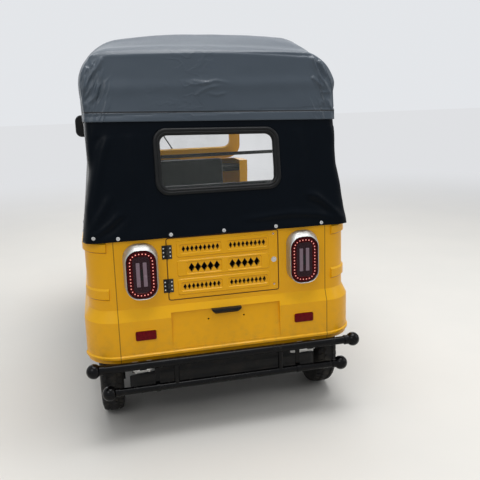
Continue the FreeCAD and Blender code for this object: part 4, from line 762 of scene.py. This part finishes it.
def buildCurtain():
    half, rear = canopy["roundHalf"], canopy["roundRear"]
    total = 2 * (half + canopy["quarterFront"] - rear)      # round the rear and both quarters
    bm = bmesh.new()
    bmesh.ops.create_grid(bm, x_segments=236, y_segments=66, size=0.5)
    low, high = canopy["curtainHem"], canopy["curtainTop"]
    for v in bm.verts:      # the top edge runs on, straight, below the cover's skirt
        run, z = v.co.x * total, low + (v.co.y + 0.5) * (high - low)
        hidden = max(0.0, z - canopy["underSkirt"])
        place = Vector((clamp(run, -half, half) * 1.1, rear + max(0.0, abs(run) - half), z - hidden))
        v.co = wrapPoint(place) + Vector((0, canopy["slope"] * hidden, hidden))
    wide, sill, head = canopy["window"]
    middles = [(f, f.calc_center_median()) for f in bm.faces]
    gone = [f for f, m in middles if m.y < -1.0 and abs(m.x) < wide and sill < m.z < head]
    bmesh.ops.delete(bm, geom=gone, context="FACES")
    relaxInner(bm, 6)
    for v in bm.verts:
        v.co = lean(v.co)
    if sum(f.normal.y for f in bm.faces if f.calc_center_median().y < -1.1) > 0:
        bmesh.ops.reverse_faces(bm, faces=bm.faces)
    bm.normal_update()
    liftSheet(bm, curtainLift)
    piece = addPiece("rearCurtain", bm, "chassis", "canopy_sheet", 0, ["curtain"], outward=False)
    clothThickness(piece)
    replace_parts(piece, "canopy")


def buildStuds():
    # each stud sits where a ray from outside meets the curtain
    tree = BVHTree.FromObject(bpy.data.objects["rearCurtain"], bpy.context.evaluated_depsgraph_get())
    bm = bmesh.new()
    z = studs["z"]
    rays = [(Vector((x, -2.0, z)), yAxis) for x in studs["rear"][1:-1]]
    rays += [(Vector(start), Vector(way).normalized()) for start, way in studs["corners"]]
    rays += [(Vector((side * 2.0, y, z)), xAxis * -side) for side in (-1, 1) for y in studs["sides"]]
    for start, way in rays:
        place, normal = tree.ray_cast(start, way)[:2]
        if place is None:
            continue
        normal = normal if normal.dot(way) < 0 else -normal
        turn = zAxis.rotation_difference(normal).to_matrix().to_4x4()
        turn = Matrix.Translation(place - normal * 0.0005) @ turn
        for finish, part in enumerate(("cap", "rivet")):
            low, high, height, out = studs[part]
            made = bmesh.ops.create_cone(bm, cap_ends=True, segments=20, radius1=low, radius2=high,
                                         depth=height, matrix=turn @ Matrix.Translation((0, 0, out)))
            for f in {f for v in made["verts"] for f in v.link_faces}:
                f.material_index = finish
    addPiece("curtainStuds", bm, "chassis", "steel", 30, ["stud", "lamp_bezel"])


buildRoofCover()
buildCurtain()
buildStuds()
print("canopy done")

# Tail lamps: silver bezel, red lens with a ring of small lamps, and a smoked panel with two light bars

tailLamp = {
    "x": 0.388, "yBody": -1.2402, "zFace": 0.798,
    # columns in mm: width, height, corner, how far out from the body; then the height of the centre in m
    "bezel": [(159, 254, 66, 0, 0.810), (158, 253, 65.5, 5, 0.8095), (150, 243, 62.5, 30, 0.803),
              (145, 236, 60.5, 40, 0.7995), (143, 233.5, 59.5, 42.5, 0.798), (140.5, 231, 58.5, 43.5, 0.798),
              (138, 228.5, 57, 42.5, 0.798), (136, 226.5, 56, 39, 0.798), (134.6, 225, 55.5, 30, 0.798),
              (134.6, 225, 55.5, 2, 0.798)],
    "lens": [(134, 224.4, 55, 3, 0.798), (134, 224.4, 55, 33, 0.798), (131, 221.4, 54, 36.5, 0.798),
             (124, 214, 51, 38.5, 0.798), (96, 187, 36, 39.5, 0.798), (84, 175, 26, 38.5, 0.798),
             (79, 170, 22, 36, 0.798)],
    # width, height, how far from the middle; then how much each ring is cut back and how far out it is
    "bar": (17, 113, 15.8), "barRings": ((0, 33), (0, 37.2), (2, 38.2)),
    "slot": (10, 52), "slotRings": (33, 36.6),
    # width, height and corner of the row of lamps; their number, radius, how far out
    "leds": (103, 194, 42), "ledNumber": 34, "ledRadius": 3.1, "ledOut": 38.5,
}


def buildTailLamps():
    t, mm = tailLamp, 0.001
    bezel, lens = bmesh.new(), bmesh.new()
    for side in (-1, 1):
        cx, cz, y = side * t["x"], t["zFace"], t["yBody"]
        for bm, key, closed in ((bezel, "bezel", True), (lens, "lens", False)):
            rings = [roundRing(bm, cx, z, w * mm, h * mm, r * mm, y - out * mm, 12)
                     for w, h, r, out, z in t[key]]
            loftRings(bm, rings, closed)
        # the smoked panel is the last cap of the lens
        for f in (f for f in lens.faces if len(f.verts) > 20):
            f.material_index = 1
        w, h, apart = t["bar"]
        for x in (-apart, apart):
            rings = [roundRing(lens, cx + x * mm, cz, (w - less) * mm, (h - less) * mm, 0.002,
                               y - out * mm, 3) for less, out in t["barRings"]]
            loftRings(lens, rings, finish=2)
        w, h = t["slot"]
        rings = [roundRing(lens, cx, cz, w * mm, h * mm, 0.003, y - out * mm, 3) for out in t["slotRings"]]
        loftRings(lens, rings, finish=4)
        count = len(lens.faces)
        w, h, r = t["leds"]
        for x, z in roundRectPlaces(w * mm, h * mm, r * mm, t["ledNumber"], 0.004):
            place = Matrix.Translation((cx + x, y - t["ledOut"] * mm, cz + z))
            bmesh.ops.create_uvsphere(lens, u_segments=10, v_segments=6, radius=t["ledRadius"] * mm,
                                      matrix=place)
        finishNewFaces(lens, count, 3)
    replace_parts(addPiece("tailLampBezels", bezel, "chassis", "lamp_bezel", 50), "tail_lamp_bezels")
    finishes = ["red_reflector", "lamp_lens", "mauveBar", "led", "black_plastic"]
    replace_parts(addPiece("tailLampLenses", lens, "chassis", "lamp_lens", 30, finishes), "tail_lamp_lenses")


# Rear reflectors, and the small screws of the rear face

reflector = {"x": 0.385, "z": 0.503, "y": -1.2652, "size": (95, 44, 7),
             "rings": ((0, 0), (0, 5.5), (1.5, 7), (4, 7.5))}      # cut back and how far out, mm


def buildReflectors():
    r, mm = reflector, 0.001
    lens = bmesh.new()
    w, h, corner = r["size"]
    for side in (-1, 1):
        rings = [roundRing(lens, side * r["x"], r["z"], (w - less) * mm, (h - less) * mm,
                           (corner - less / 3) * mm, r["y"] - out * mm, 5) for less, out in r["rings"]]
        loftRings(lens, rings)
    piece = addPiece("rearReflectors", lens, "chassis", "red_reflector", 40, ["prismRed"])
    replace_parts(piece, "rear_reflectors")


hardware = {
    # the hinges' screws: middle line, how far aside, heights of hinges and rows, face, radius and height
    "hingeX": -0.266, "aside": 0.0155, "hinges": (0.884, 0.723), "rows": (-0.0185, 0, 0.0185),
    "face": -1.2425, "screw": (0.0036, 0.0013),
    "dimples": ((0.245, -1.2388, 0.930), (0.245, -1.2388, 0.680)), "dimpleScrew": (0.0046, 0.0014),
}


def buildFasteners():
    h = hardware
    fixed, swinging = bmesh.new(), bmesh.new()
    for bm, side in ((fixed, -1), (swinging, 1)):
        x = h["hingeX"] + side * h["aside"]
        places = [Vector((x, h["face"], z + row)) for z in h["hinges"] for row in h["rows"]]
        screwHeads(bm, places, -yAxis, *h["screw"])
    # one screw in each of the hatch's dimples
    screwHeads(swinging, [Vector(p) for p in h["dimples"]], -yAxis, *h["dimpleScrew"], finishIndex=1)
    addPiece("panelScrews", fixed, "chassis", "steel", 30, ["zinc"])
    addPiece("hatchScrews", swinging, "hatch", "steel", 30, ["zinc", "brownScrew"])


# Thin black rings round the hatch's vents, painted shade that makes their dark openings look wider, and the
# seal round its opening

ventLips = {
    # columns: the row's height, number each side, pitch, first one's distance, opening's width, height, rim
    "rows": [(893.0, 9, 20.1, 28.0, 13.0, 23.0, 1.27), (801.0, 5, 30.0, 34.0, 25.0, 38.0, 1.18),
             (711.0, 9, 20.1, 28.0, 13.0, 23.0, 1.27)],
    "shiftRight": 7.0, "floor": -1.2395, "stand": 0.0008, "crown": 0.00096, "inner": 0.99,
    # the hatch's opening: middle, width, height, corner; the seal's section: out round it, out from the face
    "opening": (0, 0.800, 0.532, 0.294, 0.010), "face": -1.2400,
    "seal": ((0.0002, -0.0005), (0.0002, 0.0010), (0.0032, 0.0010), (0.0032, -0.0005)),
}


def buildVentShadeRingsAndSeal():
    t, mm, bm = ventLips, 0.001, bmesh.new()
    inner, crown = t["inner"], t["crown"]
    # each ring is a black sheet on the yellow face: painted shade standing for a wider dark vent opening
    for z, number, pitch, first, w, h, rim in t["rows"]:
        reach = [first + i * pitch for i in range(number)]
        section = ((rim, 0.0), (rim, t["stand"]), (rim * 0.985, crown), (inner, crown), (inner, 0.0))
        for x in [-r for r in reach] + [r + t["shiftRight"] for r in reach]:
            rings = []
            for scale, out in section:
                ring = bmesh.ops.create_circle(bm, cap_ends=False, segments=4, radius=1.0)["verts"]
                for v in ring:
                    across, rise = v.co.x * w / 2 * scale, v.co.y * h / 2 * scale
                    v.co = ((x + across) * mm, t["floor"] - out, (z + rise) * mm)
                rings.append(ring)
            loftRings(bm, rings, True)
    addPiece("ventLips", bm, "hatch", "black_plastic", 30)
    seal = bmesh.new()
    cx, cz, w, h, r = t["opening"]
    rings = [roundRing(seal, cx, cz, w + 2 * out, h + 2 * out, r + out, t["face"] - stand, 6)
             for out, stand in t["seal"]]
    loftRings(seal, rings, True)
    addPiece("hatchSeal", seal, "chassis", "black_rubber", 30, ["trim"])


# Rear window: rubber section with its bevelled inner lip

windowRubber = {"z": 1.296, "halfWidth": 0.297, "height": 0.300, "corner": 0.062,
                # columns: inset from the outer edge, how far it stands out, mm
                "section": [(0, -4), (0, 4), (2, 8), (6, 10.2), (12, 10.8), (15.5, 9.6), (16.5, 8.0),
                            (17.5, 9.6), (22, 10.0), (27, 7.6), (31, 3.2), (32, -2), (32, -9), (10, -9)]}


def rearPlace(x, z, out):
    # out from the leaning rear face of the canopy; z is measured along it
    tilt = math.atan(canopy["slope"])
    forward, rise = math.sin(tilt), math.cos(tilt)
    along = z - canopy["footZ"]
    return Vector((x, canopy["footY"] + along * forward - out * rise,
                   canopy["footZ"] + along * rise + out * forward))


def buildWindowRubber():
    w, mm = windowRubber, 0.001
    bm = bmesh.new()
    rings = []
    for inset, out in w["section"]:
        less = 2 * inset * mm
        rings.append(roundRing(bm, 0, w["z"], 2 * w["halfWidth"] - less, w["height"] - less,
                               w["corner"] - inset * mm * 0.8, -out * mm, 10))
    loftRings(bm, rings, True)
    for v in bm.verts:
        v.co = lean(rearPlace(v.co.x, v.co.z, -v.co.y))
    piece = addPiece("rearWindowRubber", bm, "chassis", "black_rubber", 60)
    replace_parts(piece, "rear_window_seal")
    pane = bmesh.new()
    pane.from_mesh(nodes["rear_window_pane"].data)
    for v in pane.verts:
        v.co = lean(v.co)
    piece = addPiece("rearWindowPane", pane, "chassis", "window_glass", 60)
    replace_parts(piece, "rear_window_pane")


buildTailLamps()
buildReflectors()
buildFasteners()
buildVentShadeRingsAndSeal()
buildWindowRubber()
print("rear details done")

# Road wheels

tyre = {
    # columns: distance from the middle plane, radius, mm
    "profile": [(42, 127.3), (42, 137), (49, 150), (55, 165), (57, 180), (56, 195), (53.5, 207), (49, 218),
                (43, 224), (36, 227.0), (27, 228.6), (18, 229.4), (9, 229.8), (0, 230)],
    "pitches": 44, "perPitch": 4, "lug": 5.0, "shear": 0.9,
    # of the tread: its least radius, half width, and where centre rib, middle blocks and outer blocks meet, m
    "treadRadius": 0.2165, "tread": 0.0505, "rib": 0.009, "middle": 0.018, "shoulder": 0.0265,
}


def buildTyre(name, node, centre, body):
    t, mm = tyre, 0.001
    bm = bmesh.new()
    right = [Vector((x * mm, 0, r * mm)) for x, r in t["profile"]]
    outline = right + [Vector((-p.x, 0, p.z)) for p in reversed(right[:-1])]
    verts = [bm.verts.new(p) for p in outline]
    edges = [bm.edges.new(pair) for pair in zip(verts, verts[1:])] + [bm.edges.new((verts[-1], verts[0]))]
    steps = t["pitches"] * t["perPitch"]
    bmesh.ops.spin(bm, geom=verts + edges, cent=(0, 0, 0), axis=xAxis, angle=2 * math.pi, steps=steps,
                   use_merge=True)
    bmesh.ops.remove_doubles(bm, verts=bm.verts, dist=1e-5)
    bmesh.ops.recalc_face_normals(bm, faces=bm.faces)
    lugs = []
    for f in bm.faces:
        c = f.calc_center_median()
        radius, x = math.hypot(c.y, c.z), abs(c.x)
        if radius < t["treadRadius"] or x > t["tread"]:
            continue
        step = int(((math.atan2(c.z, c.y) + 2 * math.pi) % (2 * math.pi)) / (2 * math.pi) * steps)
        part = (step + (2 if c.x > 0 else 0)) % t["perPitch"]
        outerBlock = x > t["shoulder"] and part != 0
        middleBlock = x < t["middle"] and part != 3
        if x < t["rib"] or middleBlock or outerBlock:
            lugs.append(f)
    made = bmesh.ops.extrude_face_region(bm, geom=lugs)["geom"]
    for v in vertsOf(made):
        out = Vector((0, v.co.y, v.co.z)).normalized()
        v.co += out * t["lug"] * mm
    bmesh.ops.delete(bm, geom=[f for f in lugs if f.is_valid], context="FACES_ONLY")
    for v in bm.verts:      # the blocks lean into a chevron
        share = clamp(abs(v.co.x) / 0.05, 0, 1) * smoothStep(math.hypot(v.co.y, v.co.z), 0.205, 0.222)
        turn = t["shear"] * share * 2 * math.pi / t["pitches"]
        v.co = Matrix.Rotation(turn, 3, "X") @ v.co
    bmesh.ops.translate(bm, verts=bm.verts, vec=centre)
    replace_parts(addPiece(name, bm, body, "tyre", 40), node)


buildTyre("frontTyre", "front_tyre", Vector((0, 1.080, 0.235)), "front_wheel")
buildTyre("rearTyreLeft", "rear_tyre_left", Vector((-0.555, -0.920, 0.235)), "rear_wheel_left")
buildTyre("rearTyreRight", "rear_tyre_right", Vector((0.555, -0.920, 0.235)), "rear_wheel_right")
print("tyres done")

# Black plate under the tail, put there as painted shade between the bumper bars, and the mirrors' glass

shadePlate = {"half": 0.345, "lowHalf": 0.470, "shoulder": 0.276, "y": -1.163, "low": 0.170, "high": 0.378,
         "beads": (0.215, 0.262, 0.309), "bead": 0.004, "beadWidth": 0.006, "sheet": 0.002, "lip": 0.012}


# a black sheet with beads and a turned-in lower edge, set where the ground under the tail lies in shadow:
# painted shade
def buildShadePlate():
    g, bm = shadePlate, bmesh.new()
    bmesh.ops.create_grid(bm, x_segments=44, y_segments=52, size=0.5)
    for v in bm.verts:
        z = g["low"] + (v.co.y + 0.5) * (g["high"] - g["low"])
        wide = g["lowHalf"] + (g["half"] - g["lowHalf"]) * smoothStep(z, g["shoulder"] - 0.012, g["shoulder"])
        ends = smoothStep(wide - abs(v.co.x) * 2 * wide, 0.02, 0.05)
        out = sum(g["bead"] * math.exp(-((z - b) / g["beadWidth"]) ** 2) for b in g["beads"]) * ends
        v.co = (v.co.x * 2 * wide, g["y"] - out, z)
    low = [e for e in bm.edges if e.is_boundary and all(v.co.z < g["low"] + 1e-5 for v in e.verts)]
    for step in range(3):      # the lower edge is turned in
        made = bmesh.ops.extrude_edge_only(bm, edges=low)["geom"]
        turn = math.radians(30 * (step + 1))
        for v in vertsOf(made):
            v.co += Vector((0, math.sin(turn), -math.cos(turn))) * g["lip"] / 3
        low = [e for e in edgesOf(made) if e.is_boundary and all(v in made for v in e.verts)]
    piece = addPiece("stoneGuard", bm, "chassis", "black_paint", 30)
    thick = piece.modifiers.new("sheet", "SOLIDIFY")
    thick.thickness, thick.offset = g["sheet"], 0.0


def buildMirrorGlass():
    source, bm = bmesh.new(), bmesh.new()
    source.from_mesh(nodes["mirrors"].data)
    for side in (-1, 1):
        flat = [f for f in source.faces if f.normal.y < -0.97 and f.calc_center_median().x * side > 0.55]
        places = [v.co.copy() for f in flat for v in f.verts]
        back = min(p.y for p in places)
        places = [p for p in places if p.y < back + 0.004]
        middle = sum(places, Vector()) / len(places)
        verts = []
        for p in places:      # a thin plate, a little smaller than the flat face
            x, z = middle.x + (p.x - middle.x) * 0.9, middle.z + (p.z - middle.z) * 0.9
            verts += [bm.verts.new((x, back - out, z)) for out in (-0.0006, 0.0012)]
        hull = bmesh.ops.convex_hull(bm, input=verts)
        inner = set(vertsOf(hull["geom_interior"] + hull["geom_unused"]))
        bmesh.ops.delete(bm, geom=list(inner), context="VERTS")
    source.free()
    addPiece("mirrorGlass", bm, "chassis", "window_glass", 30, ["mirror"])


buildShadePlate()
buildMirrorGlass()
print("guard and mirrors done")

# Seats: foam pads in leatherette, puffed by simulation between their sewn channels

# the even mesh's step, how much smaller than the solid it starts, the channels' places across, how full it is
wideSeat = {"voxel": 0.0085, "shrink": 0.003, "channels": (-0.34, -0.115, 0.115, 0.34), "fill": 0.75}
narrowSeat = {"voxel": 0.0065, "shrink": 0.0025, "channels": (-0.085, 0.085), "fill": 0.75}
# the most a point may move, the padded face's way, and the channels' places along the cushion
seats = {
    "passengerCushion": {"node": "passenger_cushion", "cap": 0.012, "up": (0, 0, 1), "cross": (-0.66,)},
    "passengerBack": {"node": "passenger_back", "cap": 0.011, "up": (0, 1, 0.2), "cross": ()},
    "driverCushion": {"node": "driver_cushion", "cap": 0.011, "up": (0, 0, 1), "cross": (0.30,)},
    "driverBack": {"node": "driver_back", "cap": 0.010, "up": (0, 1, 0), "cross": ()},
}
seatSettings = {"pressure": 4.0, "frames": 20, "groove": 0.0045, "grooveWidth": 0.006, "piping": 0.0032}


def channelShare(place, seat):
    # 1 on a sewn channel of the padded face, 0 away from it
    near = [abs(place.x - x) for x in seat["channels"]] + [abs(place.y - y) for y in seat["cross"]]
    return math.exp(-(min(near) / seatSettings["grooveWidth"]) ** 2)


def buildSeat(name):
    seat = {**seats[name], **(wideSeat if name.startswith("passenger") else narrowSeat)}
    bm = bmesh.new()
    bm.from_mesh(nodes[seat["node"]].data)
    bmesh.ops.remove_doubles(bm, verts=bm.verts, dist=1e-5)
    bm.normal_update()
    for v, way in [(v, v.normal.copy()) for v in bm.verts]:
        v.co -= way * seat["shrink"]
    rough = bpy.data.meshes.new(name + "Rough")
    bm.to_mesh(rough)
    bm.free()
    holder = newObject(name + "Rough", rough)
    remesh = holder.modifiers.new("even", "REMESH")
    remesh.mode, remesh.voxel_size = "VOXEL", seat["voxel"]
    even = bakedMesh(holder)
    bpy.data.objects.remove(holder)
    up = Vector(seat["up"]).normalized()
    rest = [v.co.copy() for v in even.vertices]
    normals = [v.normal.copy() for v in even.vertices]
    holder = newObject(name + "Puff", even)
    pinned = holder.vertex_groups.new(name="sewn")
    back = [i for i, n in enumerate(normals) if n.dot(up) < -0.5]
    sewn = [i for i, p in enumerate(rest) if channelShare(p, seat) > 0.6 and normals[i].dot(up) > 0.3]
    pinned.add(back + sewn, 1.0, "REPLACE")
    moved = [p.copy() for p in rest]
    puff = holder.modifiers.new("puff", "CLOTH")
    cloth = puff.settings
    cloth.quality, cloth.mass, cloth.time_scale = 5, 0.3, 1.0
    cloth.tension_stiffness = cloth.compression_stiffness = cloth.shear_stiffness = 12
    cloth.bending_stiffness = 1.5
    cloth.use_pressure, cloth.uniform_pressure_force = True, seatSettings["pressure"]
    cloth.vertex_group_mass, cloth.effector_weights.gravity = "sewn", 0
    puff.point_cache.frame_start, puff.point_cache.frame_end = 1, seatSettings["frames"]
    for number in range(1, seatSettings["frames"] + 1):
        bpy.context.scene.frame_set(number)
    puffed = bakedMesh(holder)
    moved = [v.co.copy() for v in puffed.vertices]
    bpy.context.scene.frame_set(1)
    bpy.data.objects.remove(holder)
    bm = bmesh.new()
    bm.from_mesh(even)
    bm.verts.ensure_lookup_table()
    for i, v in enumerate(bm.verts):
        step = moved[i] - rest[i]
        if step.length > seat["cap"]:
            step *= seat["cap"] / step.length
        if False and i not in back:
            step = normals[i] * seat["cap"] * 0.5 * (1 - channelShare(rest[i], seat))
        v.co = rest[i] + step
        if normals[i].dot(up) > 0.2:
            v.co -= up * seatSettings["groove"] * channelShare(rest[i], seat)
    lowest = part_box(seat["node"])[0][2]
    for v in bm.verts:      # never below what carries it
        v.co.z = max(v.co.z, lowest)
    piece = addPiece(name, bm, "chassis", "seat_cover", 0)
    subdivide = piece.modifiers.new("smooth", "SUBSURF")
    subdivide.levels = subdivide.render_levels = 1
    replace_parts(piece, seat["node"])


def buildPiping(name, seatName, cast, level, inset, corner):
    # a piped seam along the edge of a seat's padded face, laid on its surface
    low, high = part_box(seats[seatName]["node"])
    tree = BVHTree.FromObject(bpy.data.objects[seatName], bpy.context.evaluated_depsgraph_get())
    other = 1 if cast.z else 2      # the padded face runs along x and this axis
    width, height = (high[k] - low[k] - 2 * inset for k in (0, other))
    points = []
    for x, run in roundRectPlaces(width, height, corner, 90):
        place = cast * level
        place.x, place[other] = x, (low[other] + high[other]) / 2 + run
        hit = tree.ray_cast(place + cast * 0.4, -cast)[0] or place
        points.append(hit + cast * seatSettings["piping"] * 0.4)
    tube = closedTube(name, points, seatSettings["piping"])
    addPiece(name, tube, "chassis", "seat_cover", 40, ["piping"])


for seatName in seats:
    buildSeat(seatName)
    print(seatName, "done")
buildPiping("passengerCushionPiping", "passengerCushion", zAxis, 0.758, 0.030, 0.05)
buildPiping("passengerBackPiping", "passengerBack", yAxis, -0.98, 0.028, 0.05)
buildPiping("driverCushionPiping", "driverCushion", zAxis, 0.732, 0.028, 0.05)
buildPiping("driverBackPiping", "driverBack", yAxis, -0.02, 0.024, 0.05)
print("seats done")
